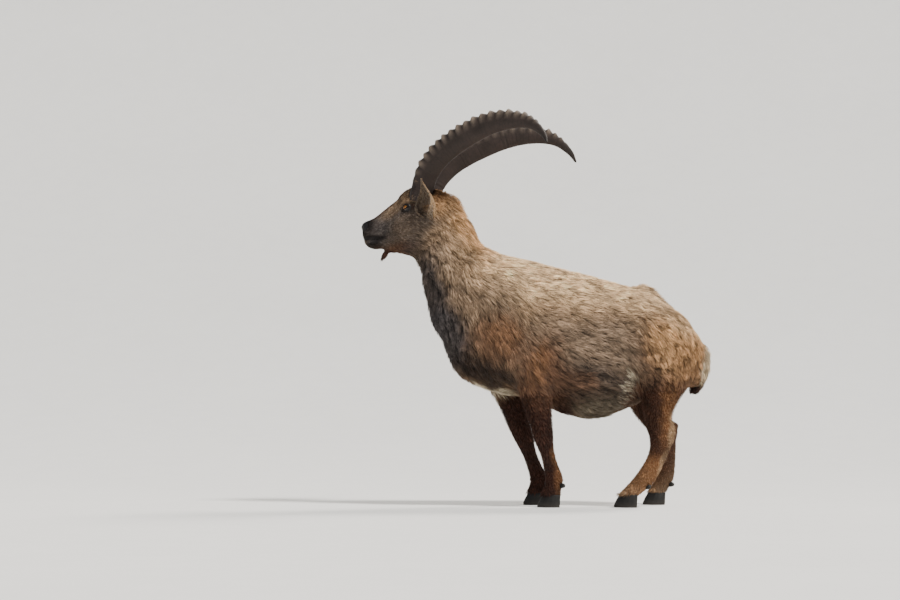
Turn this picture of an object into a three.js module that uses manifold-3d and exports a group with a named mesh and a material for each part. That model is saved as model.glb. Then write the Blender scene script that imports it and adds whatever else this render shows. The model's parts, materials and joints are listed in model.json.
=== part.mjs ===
// Alpine ibex, adult male, standing with its head turned a little to its right: a still, life-size model.
// Millimetres, +Z up. It faces -X, so its left side is towards -Y and its right side towards +Y.
import * as THREE from 'three';
import { mergeVertices } from 'three/addons/utils/BufferGeometryUtils.js';
import Module from 'manifold-3d';

const wasm = await Module();
wasm.setup();

// Driving dimensions
const GAP = 0.3;                    // clearance between pieces that touch
const SEAM = GAP / 2;               // what each of two pieces gives up at a flat seam
const SHORT_EDGE = 0.1;            // detail finer than this is closed up
const HOOF_HEIGHT = 44;
const HEAD_YAW = THREE.MathUtils.degToRad(20);    // the muzzle turns to the animal's right
const HEAD_ROLL = THREE.MathUtils.degToRad(-4);   // the right side of the head hangs lower
const HEAD_PIVOT = new THREE.Vector3(-300, 8, 1040);
const EYE_RADIUS = 15.5;
const EYE_PLACE = { x: -433, side: 53, z: 1067 };
const HORN_SPREAD = 142;            // how far each horn moves out from its root to its tip
const BEARD_ROOT = { x: -522, z: 940 };
const BEARD_TIP = { x: -546, z: 892 };
const BEARD_DEPTH = 15;             // half its length fore and aft at the root
const BEARD_HALF = 10;
const LEFT = -1;
const RIGHT = 1;
const SIDES = [['left', LEFT], ['right', RIGHT]];

// Small number helpers
const point = (x, y, z) => new THREE.Vector3(x, y, z);
const lerp = THREE.MathUtils.lerp;
const radians = THREE.MathUtils.degToRad;

// A smooth curve through equally spaced values, read at t from 0 to values.length - 1.
function spline(values, t) {
  const last = values.length - 1;
  const i = Math.min(Math.floor(Math.max(t, 0)), last - 1);
  const f = t - i;
  const a = values[Math.max(i - 1, 0)];
  const b = values[i];
  const c = values[i + 1];
  const d = values[Math.min(i + 2, last)];
  const cubic = f * (c - a + f * (2 * a - 5 * b + 4 * c - d + f * (3 * (b - c) + d - a)));
  return b + 0.5 * cubic;
}

// The smaller of two distances, rounded where they meet over a width of k.
function soften(a, b, k) {
  const h = Math.max(k - Math.abs(a - b), 0) / k;
  return Math.min(a, b) - h * h * k * 0.25;
}

// A section whose upper and lower points are read from the side outline. half is its half width.
function outline([topX, topZ], [lowX, lowZ], half, y = 0, yaw = 0) {
  const up = point(topX - lowX, 0, topZ - lowZ);
  const height = up.length() / 2;
  const turn = new THREE.Matrix4().makeRotationZ(-yaw);
  return {
    centre: point((topX + lowX) / 2, y, (topZ + lowZ) / 2),
    up: up.normalize().applyMatrix4(turn),
    side: point(0, 1, 0).applyMatrix4(turn),
    height,
    half,
  };
}

// A section of a limb: its centre, its half depth fore and aft, and its half width.
// lean tilts the section's plane forward, and slant lifts its outer edge, both in degrees.
function limb([x, y, z], depth, half, lean = 0, slant = 0) {
  const outward = Math.sign(y) || 1;
  const up = point(Math.cos(radians(lean)), 0, Math.sin(radians(lean)));
  const side = point(0, Math.cos(radians(slant)), outward * Math.sin(radians(slant)));
  return { centre: point(x, y, z), up, side, height: depth, half };
}

// A long body along a row of sections, with rounded ends where a cap is given.
class Tube {
  constructor(sections, { startCap = 0, endCap = 0, power = 2 } = {}) {
    this.sections = sections;
    this.last = sections.length - 1;
    this.power = power;
    this.caps = [startCap, endCap];
    this.rows = [];
    const stepsPerSection = 6;
    for (let i = 0; i <= this.last * stepsPerSection; i++) this.rows.push(this.frame(i / stepsPerSection));
  }

  // The section at t, with its axes and the direction that the tube runs in.
  frame(t) {
    const read = (pick) => spline(this.sections.map(pick), t);
    const vector = (key) => point(
      read((s) => s[key].x),
      read((s) => s[key].y),
      read((s) => s[key].z),
    );
    const up = vector('up').normalize();
    const side = vector('side');
    side.addScaledVector(up, -side.dot(up)).normalize();
    const along = new THREE.Vector3().crossVectors(up, side);
    const ahead = this.sections[this.last].centre.clone().sub(this.sections[0].centre);
    if (along.dot(ahead) < 0) along.negate();
    return {
      centre: vector('centre'),
      up,
      side,
      along,
      height: Math.max(read((s) => s.height), 1),
      half: Math.max(read((s) => s.half), 1),
    };
  }

  // About how far a point lies outside the surface.
  distance(p) {
    let best = 0;
    let least = Infinity;
    for (let i = 0; i < this.rows.length; i++) {
      const row = this.rows[i];
      const x = p.x - row.centre.x;
      const y = p.y - row.centre.y;
      const z = p.z - row.centre.z;
      const s = x * row.along.x + y * row.along.y + z * row.along.z;
      const cost = s * s + 0.08 * (x * x + y * y + z * z);
      if (cost < least) {
        least = cost;
        best = i;
      }
    }
    const read = (row) => {
      const x = p.x - row.centre.x;
      const y = p.y - row.centre.y;
      const z = p.z - row.centre.z;
      return [
        x * row.along.x + y * row.along.y + z * row.along.z,
        (x * row.up.x + y * row.up.y + z * row.up.z) / row.height,
        (x * row.side.x + y * row.side.y + z * row.side.z) / row.half,
        row.height,
        row.half,
      ];
    };
    let here = read(this.rows[best]);
    const next = this.rows[best + Math.sign(here[0])];
    let past = here[0];
    if (next) {
      const there = read(next);
      const share = Math.min(Math.max(here[0] / (here[0] - there[0] || 1), 0), 1);
      here = here.map((v, i) => lerp(v, there[i], share));
      past = 0;
    }
    const [, u, v, height, half] = here;
    const cap = this.caps[past > 0 ? 1 : 0];
    const w = cap ? past / cap : past / 2;
    const round = (Math.abs(u) ** this.power + Math.abs(v) ** this.power) ** (1 / this.power);
    const reach = Math.hypot(round, w);
    if (reach < 0.05) return -Math.min(height, half);
    return Math.hypot(u * height, v * half, past) * (1 - 1 / reach);
  }
}

// An egg-shaped muscle: its centre, its half lengths and the direction of its long axis in the side view.
function muscle([x, y, z], [length, half, height], tilt = 0) {
  const c = Math.cos(radians(tilt));
  const s = Math.sin(radians(tilt));
  return (p) => {
    const dx = p.x - x;
    const dz = p.z - z;
    const a = (dx * c + dz * s) / length;
    const b = (p.y - y) / half;
    const h = (dz * c - dx * s) / height;
    const near = Math.hypot(a, b, h);
    const steep = Math.hypot(a / length, b / half, h / height);
    return near < 1e-6 ? -Math.min(length, half, height) : near * (near - 1) / steep;
  };
}

// Several forms melted into one. Each entry is a distance function and the width of its fillet.
const melt = (entries) => (p) => entries.reduce((sum, [form, k]) => (
  sum === null ? form(p) : soften(sum, form(p), k)
), null);

// The head's own frame: turned and tilted about the pivot.
const headTurn = new THREE.Matrix4()
  .makeTranslation(HEAD_PIVOT)
  .multiply(new THREE.Matrix4().makeRotationZ(-HEAD_YAW))
  .multiply(new THREE.Matrix4().makeRotationX(HEAD_ROLL))
  .multiply(new THREE.Matrix4().makeTranslation(HEAD_PIVOT.clone().negate()));
const headUnturn = headTurn.clone().invert();
const onHead = (x, y, z) => point(x, y + HEAD_PIVOT.y, z).applyMatrix4(headTurn);

// Solids from meshes, and meshes from solids

function solidFrom(positions, triangles) {
  return new wasm.Manifold(new wasm.Mesh({
    numProp: 3,
    vertProperties: new Float32Array(positions),
    triVerts: new Uint32Array(triangles),
  }));
}

// A three.js geometry as a solid.
function solidOf(geometry) {
  const bare = geometry.clone();
  bare.deleteAttribute('normal');
  bare.deleteAttribute('uv');
  const merged = mergeVertices(bare, 1e-4);
  return solidFrom(merged.attributes.position.array, merged.index.array);
}

const joined = (solids) => solids.reduce((sum, s) => sum.add(s));
const without = (solid, cutters) => cutters.reduce((left, c) => left.subtract(c), solid);

// The largest closed body of a solid, with edges shorter than SHORT_EDGE closed up.
function largest(solid) {
  return solid.simplify(SHORT_EDGE).decompose().reduce((a, b) => (b.volume() > a.volume() ? b : a));
}

// Stacks rings of points into one closed solid. A start or end that is one point closes to a tip,
// and one that is a ring closes flat on its middle.
function stack(rings) {
  const positions = [];
  const starts = rings.map((ring) => {
    const at = positions.length / 3;
    ring.forEach((p) => positions.push(p.x, p.y, p.z));
    return at;
  });
  const triangles = [];
  const size = Math.max(...rings.map((r) => r.length));
  const fan = (middle, start, flip) => {
    for (let j = 0; j < size; j++) {
      const a = start + j;
      const b = start + (j + 1) % size;
      triangles.push(...(flip ? [middle, b, a] : [middle, a, b]));
    }
  };
  for (let k = 0; k + 1 < rings.length; k++) {
    const [a, b] = [starts[k], starts[k + 1]];
    if (rings[k].length === 1) {
      fan(a, b, true);
    } else if (rings[k + 1].length === 1) {
      fan(b, a, false);
    } else {
      for (let j = 0; j < size; j++) {
        const n = (j + 1) % size;
        triangles.push(a + j, a + n, b + j, a + n, b + n, b + j);
      }
    }
  }
  const close = (index, flip) => {
    const ring = rings[index];
    if (ring.length === 1) return;
    const middle = ring.reduce((sum, p) => sum.add(p), point(0, 0, 0)).divideScalar(ring.length);
    positions.push(middle.x, middle.y, middle.z);
    fan(positions.length / 3 - 1, starts[index], flip);
  };
  close(0, true);
  close(rings.length - 1, false);
  const solid = solidFrom(positions, triangles);
  if (solid.volume() > 0) return solid;
  for (let i = 0; i < triangles.length; i += 3) {
    [triangles[i + 1], triangles[i + 2]] = [triangles[i + 2], triangles[i + 1]];
  }
  return solidFrom(positions, triangles);
}

// Where a ray from inside a form meets its surface, raised by level.
function surfacePoint(form, from, direction, level = 0) {
  const p = from.clone();
  let r = 0;
  let inside = 0;
  const limit = 700;
  const longestStep = 9;
  while (r < limit) {
    const d = form(p.copy(from).addScaledVector(direction, r)) - level;
    if (d > 0) break;
    inside = r;
    r += Math.min(Math.max(-d * 0.5, 1.2), longestStep);
  }
  let outside = r;
  for (let i = 0; i < 18; i++) {
    r = (inside + outside) / 2;
    if (form(p.copy(from).addScaledVector(direction, r)) > level) outside = r;
    else inside = r;
  }
  return from.clone().addScaledVector(direction, (inside + outside) / 2);
}

// Wraps rings round a tube's axis onto a form. A flat end is set back by SEAM, and a round one closes
// to a point.
function wrap(form, tube, { from = 0, to = tube.last, rings, segments, level = 0, roundStart, roundEnd }) {
  const made = [];
  const ray = (frame, angle, lean) => {
    const direction = frame.up.clone().multiplyScalar(Math.cos(angle) * Math.cos(lean));
    direction.addScaledVector(frame.side, Math.sin(angle) * Math.cos(lean));
    direction.addScaledVector(frame.along, Math.sin(lean));
    return surfacePoint(form, frame.centre, direction, level);
  };
  const ring = (frame, lean = 0) => Array.from({ length: segments }, (_, j) => (
    ray(frame, (j / segments) * Math.PI * 2, lean)
  ));
  const dome = (frame, sign) => [70, 47, 24].map((deg) => ring(frame, sign * radians(deg)));
  const first = tube.frame(from);
  const final = tube.frame(to);
  if (roundStart) {
    made.push([ray(first, 0, -Math.PI / 2)], ...dome(first, -1));
  } else {
    first.centre.addScaledVector(first.along, SEAM);
  }
  if (!roundEnd) final.centre.addScaledVector(final.along, -SEAM);
  for (let k = 0; k <= rings; k++) {
    const t = lerp(from, to, k / rings);
    const frame = k === 0 ? first : k === rings ? final : tube.frame(t);
    made.push(ring(frame));
  }
  if (roundEnd) made.push(...dome(final, 1).reverse(), [ray(final, 0, Math.PI / 2)]);
  return stack(made);
}

// The body's forms

// From the shoulders to the rump, read from the side outline: back line, then chest and belly line.
const seamNeckTorso = outline([-148, 905], [-332, 640], 110);
const trunk = new Tube([
  seamNeckTorso,
  outline([-98, 884], [-270, 512], 132),
  outline([-22, 868], [-150, 414], 146),
  outline([70, 855], [0, 386], 156),
  outline([160, 839], [105, 332], 166),
  outline([260, 812], [212, 312], 168),
  outline([350, 786], [312, 334], 154),
  outline([430, 764], [392, 374], 136),
  outline([512, 708], [478, 424], 112),
  outline([572, 638], [548, 480], 84),
], { startCap: 60, endCap: 48, power: 2.15 });

// The seam between head and neck, in the head's own frame.
const seamHeadNeck = (() => {
  const flat = outline([-262, 1098], [-424, 900], 73, HEAD_PIVOT.y);
  const turned = (v) => v.clone().transformDirection(headTurn);
  const centre = flat.centre.clone().applyMatrix4(headTurn);
  return { ...flat, centre, up: turned(flat.up), side: turned(flat.side) };
})();
const neck = new Tube([
  seamHeadNeck,
  outline([-204, 1004], [-396, 836], 78, 5, radians(11)),
  outline([-180, 940], [-372, 742], 90, 2, radians(4)),
  seamNeckTorso,
], { startCap: 50, endCap: 60 });

const both = (make, k) => [[make(LEFT), k], [make(RIGHT), k]];
const bodyForm = melt([
  [(p) => trunk.distance(p), 1],
  [(p) => neck.distance(p), 60],
  [muscle([-194, 0, 538], [84, 80, 92], -20), 50],                                   // brisket
  [muscle([-60, 0, 846], [120, 46, 36], -8), 50],                                    // withers
  ...both((s) => muscle([-118, s * 90, 694], [176, 56, 92], 58), 45),                // shoulder blade
  ...both((s) => muscle([-84, s * 108, 536], [150, 54, 84], -34), 40),               // upper arm
  ...both((s) => muscle([448, s * 100, 572], [138, 76, 142], 12), 30),               // haunch
  ...both((s) => muscle([548, s * 58, 520], [74, 50, 110], 20), 40),                 // buttock
  ...both((s) => muscle([392, s * 84, 700], [70, 48, 50], -12), 40),                 // hip point
  [muscle([404, 0, 752], [40, 46, 34], -16), 16],                                    // tuft on the rump
]);

// The head in its own frame, from the seam at the nape to the muzzle.
const skull = new Tube([
  outline([-262, 1098], [-424, 900], 73),
  outline([-312, 1130], [-434, 903], 77),
  outline([-362, 1148], [-452, 905], 72),
  outline([-415, 1152], [-470, 908], 64),
  outline([-454, 1134], [-488, 912], 56),
  outline([-486, 1105], [-506, 916], 47),
  outline([-523, 1079], [-529, 923], 40),
  outline([-556, 1058], [-553, 930], 35),
  outline([-584, 1040], [-577, 932], 34),
  outline([-603, 1020], [-600, 944], 29),
], { startCap: 40, endCap: 20, power: 2.2 });
const headLocal = melt([
  [(p) => skull.distance(p), 1],
  ...both((s) => muscle([-418, s * 44, 966], [66, 28, 56], -14), 26),                // cheek
  ...both((s) => muscle([-428, s * 47, 1088], [30, 15, 15], 30), 14),                // brow
  ...both((s) => muscle([-588, s * 17, 988], [30, 17, 20], 12), 12),                 // upper lip
  ...both((s) => muscle([-594, s * 15, 1016], [20, 13, 15], 40), 10),                // nostril wing
  [muscle([-584, 0, 948], [30, 24, 16], -8), 12],                                    // lower lip and chin
  [muscle([-508, 0, 1078], [86, 24, 14], 38), 18],                                   // bridge of the nose
]);
const scratch = new THREE.Vector3();
const headForm = (p) => {
  scratch.copy(p).applyMatrix4(headUnturn);
  scratch.y -= HEAD_PIVOT.y;
  return headLocal(scratch);
};
const headTube = new Tube(skull.sections.map((s) => ({
  ...s,
  centre: onHead(s.centre.x, s.centre.y, s.centre.z),
  up: s.up.clone().transformDirection(headTurn),
  side: s.side.clone().transformDirection(headTurn),
})), {});
const wholeForm = (p) => soften(bodyForm(p), headForm(p), 36);

// The legs, from inside the shoulder or haunch down to the top of the hooves.
const LEGS = [
  {
    name: 'foreleg_left', cut: 2, knee: 5, hoofX: 66, toeOut: -4,
    sections: [
      limb([-24, -106, 560], 88, 52, 0, 20),
      limb([4, -114, 478], 78, 50, 0, 28),
      limb([14, -112, 412], 64, 42, 0, 26),
      limb([22, -109, 352], 52, 36, 4, 8),
      limb([34, -107, 290], 42, 32, 6),
      limb([43, -106, 238], 35, 32, 6),
      limb([55, -106, 192], 26, 25, 12),
      limb([68, -106, 142], 27, 24, 10),
      limb([79, -107, 102], 33, 29, 0),
      limb([74, -107, 70], 31, 29, -6),
      limb([66, -107, HOOF_HEIGHT + SEAM], 35, 33, 0),
    ],
  },
  {
    name: 'foreleg_right', cut: 2, knee: 5, hoofX: 24, toeOut: 3,
    sections: [
      limb([-70, 106, 560], 88, 52, 0, 20),
      limb([-82, 114, 478], 78, 50, 4, 28),
      limb([-72, 112, 412], 64, 42, 8, 26),
      limb([-54, 109, 352], 52, 36, 14, 8),
      limb([-35, 107, 286], 42, 32, 16),
      limb([-16, 106, 234], 35, 32, 14),
      limb([0, 106, 188], 26, 25, 16),
      limb([18, 106, 140], 27, 24, 14),
      limb([33, 107, 102], 33, 29, 2),
      limb([31, 107, 70], 31, 29, -6),
      limb([24, 107, HOOF_HEIGHT + SEAM], 35, 33, 0),
    ],
  },
  {
    name: 'hindleg_left', cut: 2, knee: 6, hoofX: 336, toeOut: -7, calcaneus: [494, -116, 262],
    sections: [
      limb([478, -96, 575], 118, 62, 0, 24),
      limb([474, -106, 498], 116, 66, 0, 32),
      limb([462, -112, 438], 98, 61, -4, 30),
      limb([452, -114, 384], 73, 50, -6, 10),
      limb([446, -115, 330], 55, 40, -2),
      limb([449, -116, 280], 45, 34, 4),
      limb([455, -117, 234], 41, 32, -2),
      limb([446, -118, 190], 35, 29, -16),
      limb([424, -119, 142], 33, 28, -26),
      limb([396, -119, 98], 35, 31, -28),
      limb([364, -119, 67], 32, 30, -18),
      limb([338, -119, HOOF_HEIGHT + SEAM], 35, 33, 0),
    ],
  },
  {
    name: 'hindleg_right', cut: 2, knee: 6, hoofX: 460, toeOut: 6, calcaneus: [530, 116, 278],
    sections: [
      limb([476, 96, 575], 118, 62, 0, 24),
      limb([466, 106, 502], 114, 66, -4, 32),
      limb([440, 112, 446], 98, 61, 4, 30),
      limb([426, 114, 394], 75, 50, 16, 10),
      limb([438, 115, 344], 56, 41, 30),
      limb([466, 116, 298], 46, 35, 30),
      limb([492, 117, 250], 42, 32, 16),
      limb([501, 117, 200], 35, 29, 2),
      limb([500, 118, 148], 33, 28, -4),
      limb([493, 118, 100], 36, 31, -6),
      limb([478, 118, 68], 32, 30, -8),
      limb([462, 118, HOOF_HEIGHT + SEAM], 35, 33, 0),
    ],
  },
];
LEGS.forEach((leg) => {
  leg.tube = new Tube(leg.sections, { startCap: 40, endCap: 20, power: 2.1 });
  const parts = [[(p) => leg.tube.distance(p), 1]];
  if (leg.calcaneus) parts.push([muscle(leg.calcaneus, [34, 17, 17], 78), 26]);
  leg.form = melt(parts);
});

const TAIL = new Tube([
  limb([570, 0, 590], 16, 20, 60), limb([606, 0, 574], 17, 24, 40), limb([622, 0, 534], 17, 27, 4),
  limb([617, 0, 486], 18, 28, -10), limb([600, 0, 440], 15, 23, -24), limb([584, 0, 410], 8, 12, -30),
], { startCap: 12, endCap: 12 });
const tailForm = (p) => TAIL.distance(p);

// Solids of the body

const torsoWrap = { rings: 27, segments: 38, roundEnd: true };
const torsoCore = wrap(wholeForm, trunk, torsoWrap);
const torsoRaised = wrap(wholeForm, trunk, { ...torsoWrap, level: GAP });
const legRings = (leg) => ({ segments: 14, rings: Math.round((leg.tube.last - leg.cut) * 2.2) });
const stubs = LEGS.map((leg) => wrap(leg.form, leg.tube, { from: 0, to: leg.cut, rings: 4, segments: 14 }));
const torso = joined([torsoCore, ...stubs]);

const neckCore = wrap(wholeForm, neck, { rings: 9, segments: 32 });
const headWrap = { rings: 24, segments: 28, roundEnd: true };
const headCore = wrap(wholeForm, headTube, headWrap);
const headRaised = wrap(wholeForm, headTube, { ...headWrap, level: GAP });

// The face

// A sphere squashed to half lengths, turned and placed.
function pebble(place, [a, b, c], turn = [0, 0, 0], [wide, tall] = [14, 9]) {
  const shape = new THREE.SphereGeometry(1, wide, tall);
  shape.scale(a, b, c);
  shape.applyMatrix4(new THREE.Matrix4().makeRotationFromEuler(new THREE.Euler(...turn)));
  shape.translate(place.x, place.y, place.z);
  return solidOf(shape);
}

const headDirection = (x, y, z) => point(x, y, z).transformDirection(headTurn);
const faceOut = (side) => headDirection(-0.34, side * 0.92, 0.16);   // where an eye looks
const eyeCentre = (side) => onHead(EYE_PLACE.x, side * EYE_PLACE.side, EYE_PLACE.z);

function eyeBall(side, grow = 0) {
  return pebble(eyeCentre(side), Array(3).fill(EYE_RADIUS + grow), [0, 0, 0], [14, 10]);
}

// The rim of lids round an eye: a ring that is longer than it is tall.
function lidRing(side) {
  const shape = new THREE.TorusGeometry(13.2, 4.6, 6, 16);
  shape.scale(1.16, 0.84, 1);
  const out = faceOut(side);
  const back = headDirection(0.9, 0, 0.3);
  const up = new THREE.Vector3().crossVectors(out, back).normalize();
  const along = new THREE.Vector3().crossVectors(up, out).normalize();
  const basis = new THREE.Matrix4().makeBasis(along, up, out);
  const depth = 8.2;
  shape.applyMatrix4(basis);
  const at = eyeCentre(side).addScaledVector(out, depth);
  shape.translate(at.x, at.y, at.z);
  return solidOf(shape);
}

// The slit between the lips, as a thin slab that bends up at the corner of the mouth.
function mouthSlit() {
  const shape = new THREE.Shape();
  shape.moveTo(-640, 966);
  shape.quadraticCurveTo(-592, 965, -566, 975);
  shape.quadraticCurveTo(-552, 978, -538, 966);
  shape.quadraticCurveTo(-552, 974.5, -566, 971.6);
  shape.quadraticCurveTo(-592, 961, -640, 962);
  const slab = new THREE.ExtrudeGeometry(shape, { depth: 120, bevelEnabled: false, curveSegments: 5 });
  slab.rotateX(Math.PI / 2);
  slab.translate(0, 60 + HEAD_PIVOT.y, 0);
  slab.applyMatrix4(headTurn);
  const lipDepth = 6;
  const muzzle = { from: 6.5, rings: 3, segments: 14, roundEnd: true, level: -lipDepth };
  const inner = wrap(wholeForm, headTube, muzzle);
  return solidOf(slab).subtract(inner);
}

const nostril = (side) => pebble(
  onHead(-612, side * 17, 1014),
  [11, 4.2, 5.6],
  [0, radians(38), radians(-20) - side * radians(28)],
  [12, 8],
);

// The short beard under the jaw: one smooth tapering form that hangs forward to its tip.
function beard() {
  const sides = 8;
  const steps = 4;
  const made = [];
  for (let k = 0; k < steps; k++) {
    const share = k / steps;
    const x = lerp(BEARD_ROOT.x, BEARD_TIP.x, share ** 1.4);
    const z = lerp(BEARD_ROOT.z, BEARD_TIP.z, share);
    const taper = Math.sqrt(1 - share ** 2);
    made.push(Array.from({ length: sides }, (_, j) => {
      const angle = (j / sides) * Math.PI * 2;
      return onHead(x + Math.cos(angle) * BEARD_DEPTH * taper, Math.sin(angle) * BEARD_HALF * taper, z);
    }));
  }
  made.push([onHead(BEARD_TIP.x, 0, BEARD_TIP.z)]);
  return stack(made);
}

// Horns

// The horn's line in the side view: how far back of the root and how high above it.
const HORN_BACK = [-8, 0, 26, 70, 124, 188, 258, 332, 404, 456, 496, 514];
const HORN_RISE = [-42, 0, 62, 116, 156, 190, 217, 232, 228, 209, 174, 141];
const HORN_ROOT = { x: -385, side: 37, z: 1132 };
const HORN_DEPTH = [39, 40, 40, 40, 39, 38, 36, 31, 23, 16, 10, 4];
const HORN_HALF = [29, 30, 30, 29, 28, 26, 24, 20, 15.5, 11.5, 8, 3.5];
const HORN_RINGS = 58;
const HORN_SEAT = 8;                // the ring at which the horn sits on its bony boss
const BOSS_RIM = 3;                 // how far the boss stands out round the horn
const KNOBS = 14;
const KNOB_HEIGHT = 10;

// A horn: a tapering, arched beam, flat in front, with a row of cross knobs along its front face.
// The boss is the short stump of it that belongs to the head.
function horn(side, isBoss) {
  const last = HORN_BACK.length - 1;
  const rings = HORN_RINGS;
  const segments = 10;
  const [from, to, rim] = isBoss ? [0, HORN_SEAT, BOSS_RIM] : [HORN_SEAT, rings, 0];
  const place = (t) => onHead(
    HORN_ROOT.x + spline(HORN_BACK, t),
    side * (HORN_ROOT.side + HORN_SPREAD * Math.max(t - 1, 0) / (last - 1)),
    HORN_ROOT.z + spline(HORN_RISE, t),
  );
  const made = [];
  for (let k = from; k <= to; k++) {
    const t = (k / rings) * last;
    const at = place(t);
    const along = place(Math.min(t + 0.05, last)).sub(place(Math.max(t - 0.05, 0))).normalize();
    const out = headDirection(0, side, 0);
    out.addScaledVector(along, -out.dot(along)).normalize();
    const front = new THREE.Vector3().crossVectors(out, along).normalize();
    if (front.dot(headDirection(-1, 0, 0.6)) < 0) front.negate();
    const along01 = k / rings;
    const wave = Math.max(0, Math.sin(along01 * KNOBS * Math.PI * 2 / 0.84)) ** 1.5;
    const fadeIn = THREE.MathUtils.smoothstep(along01, 0.06, 0.26);
    const grown = fadeIn * (1 - THREE.MathUtils.smoothstep(along01, 0.7, 0.86));
    const knob = KNOB_HEIGHT * wave * grown * lerp(0.75, 1, Math.sin(along01 * 40) ** 2);
    if (k === HORN_SEAT) at.addScaledVector(along, isBoss ? -SEAM : SEAM);
    const depth = spline(HORN_DEPTH, t) + rim;
    const half = spline(HORN_HALF, t) + rim;
    const ring = [];
    for (let j = 0; j < segments; j++) {
      const angle = (j / segments) * Math.PI * 2;
      const forward = Math.cos(angle);
      const lateral = Math.sin(angle);
      // The front face is broad and flat, and the back narrows to a rounded keel.
      const broad = forward > 0 ? 1 : 1 - 0.3 * forward * forward;
      const flat = forward > 0 ? 0.9 * Math.abs(forward) ** 0.55 : forward;
      const bump = knob * Math.max(0, forward) ** 0.4 * (forward > 0.1 ? 1 : 0);
      ring.push(at.clone()
        .addScaledVector(front, flat * depth + bump)
        .addScaledVector(out, lateral * half * broad + Math.sign(lateral) * (bump * 0.25)));
    }
    made.push(ring);
  }
  if (isBoss) return stack(made);
  const tip = place(last).add(place(last).sub(place(last - 0.1)).normalize().multiplyScalar(5));
  made.push([tip]);
  return stack(made);
}

// Ears

// A cupped leaf of an ear that stands up and out, its hollow facing outward and forward.
const EAR_LENGTH = 146;
const EAR_WALL = 4.5;
function ear(side) {
  const root = onHead(-342, side * 58, 1030);
  const tip = onHead(-345, side * 128, 1163);
  const along = tip.clone().sub(root).normalize();
  const out = headDirection(-0.5, side * 0.8, -0.25);
  out.addScaledVector(along, -out.dot(along)).normalize();
  const across = new THREE.Vector3().crossVectors(along, out).normalize();
  const widths = [17, 27, 33, 33, 29, 22, 13, 3];
  const curl = [150, 142, 120, 100, 84, 72, 60, 50];
  const arcPoints = 8;
  const rings = 12;
  const made = [];
  for (let k = 0; k <= rings; k++) {
    const t = (k / rings) * (widths.length - 1);
    const share = k / rings;
    const width = spline(widths, t);
    const turn = radians(spline(curl, t));
    const radius = width / Math.sin(Math.min(turn, Math.PI / 2));
    const lift = 16 * Math.sin(share * Math.PI * 0.9) - 6 * share;
    const wall = lerp(EAR_WALL, 1.4, share);
    const centre = root.clone().addScaledVector(along, share * EAR_LENGTH);
    centre.addScaledVector(out, radius - lift);
    const arc = (r) => Array.from({ length: arcPoints }, (_, j) => {
      const a = lerp(-turn, turn, j / (arcPoints - 1));
      return centre.clone().addScaledVector(out, -Math.cos(a) * r).addScaledVector(across, Math.sin(a) * r);
    });
    made.push([...arc(radius), ...arc(Math.max(radius - wall, radius * 0.5)).reverse()]);
  }
  return stack(made);
}

// Hooves

// One claw of a cloven hoof: a flat-bottomed wedge with a pointed toe, straighter on its cleft side.
function claw(leg, outer) {
  const side = leg.name.endsWith('left') ? LEFT : RIGHT;
  const y = leg.sections[leg.sections.length - 1].centre.y;
  const rows = [
    { z: 0, length: 40, half: 16, shift: -8 }, { z: 9, length: 40, half: 16.5, shift: -7 },
    { z: 27, length: 36, half: 16, shift: -2 }, { z: HOOF_HEIGHT, length: 31, half: 14.5, shift: 4 },
  ];
  const segments = 14;
  const made = rows.map(({ z, length, half, shift }) => Array.from({ length: segments }, (_, j) => {
    const angle = (j / segments) * Math.PI * 2;
    const fore = -Math.cos(angle);
    const lateral = Math.sin(angle);
    const toe = fore < 0 ? 1 - 0.55 * fore * fore : 1 - 0.18 * fore ** 4;
    const bulge = lateral > 0 ? 1 : 0.72;
    return point(fore * length + shift, lateral * half * toe * bulge, z);
  }));
  const shape = stack(made);
  const flip = outer ? side : -side;
  const spread = outer ? 17 : -17;
  const turn = radians(leg.toeOut + (outer ? side * 5 : -side * 5));
  const placed = flip < 0 ? shape.mirror([0, 1, 0]) : shape;
  return placed
    .rotate([0, 0, THREE.MathUtils.radToDeg(turn)])
    .translate([leg.hoofX, y + side * spread, 0]);
}

// A dewclaw: a small blunt cone behind the fetlock.
function dewclaw(leg, outer, raised) {
  const side = leg.name.endsWith('left') ? LEFT : RIGHT;
  const at = leg.tube.frame(leg.tube.last - 1.35);
  const cone = new THREE.LatheGeometry([
    new THREE.Vector2(0, -14), new THREE.Vector2(9, -14), new THREE.Vector2(10, 2),
    new THREE.Vector2(7, 15), new THREE.Vector2(0, 20),
  ], 9);
  cone.rotateZ(radians(-145));
  const x = at.centre.x + at.height * 0.86;
  const y = at.centre.y + side * (outer ? 15 : -15);
  cone.translate(x, y, at.centre.z - 4);
  return largest(solidOf(cone).subtract(raised));
}

// Nodes

const MATERIALS = {
  coat: new THREE.MeshStandardMaterial({ name: 'coat', color: 0x9c7c5c, roughness: 0.95 }),
  leg_coat: new THREE.MeshStandardMaterial({ name: 'leg_coat', color: 0x5a3826, roughness: 0.95 }),
  horn: new THREE.MeshStandardMaterial({ name: 'horn', color: 0x4a3a2e, roughness: 0.7 }),
  hoof: new THREE.MeshStandardMaterial({ name: 'hoof', color: 0x24211f, roughness: 0.55 }),
  eye: new THREE.MeshStandardMaterial({ name: 'eye', color: 0x7a4a18, roughness: 0.1 }),
};
const ibex = new THREE.Group();

function addNode(name, solid, material) {
  const { vertProperties, triVerts, numProp, numVert } = solid.getMesh();
  const positions = new Float32Array(numVert * 3);
  for (let i = 0; i < numVert; i++) {
    const start = i * numProp;
    positions.set(vertProperties.subarray(start, start + 3), i * 3);
  }
  const geometry = new THREE.BufferGeometry();
  geometry.setAttribute('position', new THREE.BufferAttribute(positions, 3));
  geometry.setIndex(new THREE.BufferAttribute(new Uint32Array(triVerts), 1));
  geometry.computeVertexNormals();
  const mesh = new THREE.Mesh(geometry, MATERIALS[material]);
  mesh.name = name;
  ibex.add(mesh);
}

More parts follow.
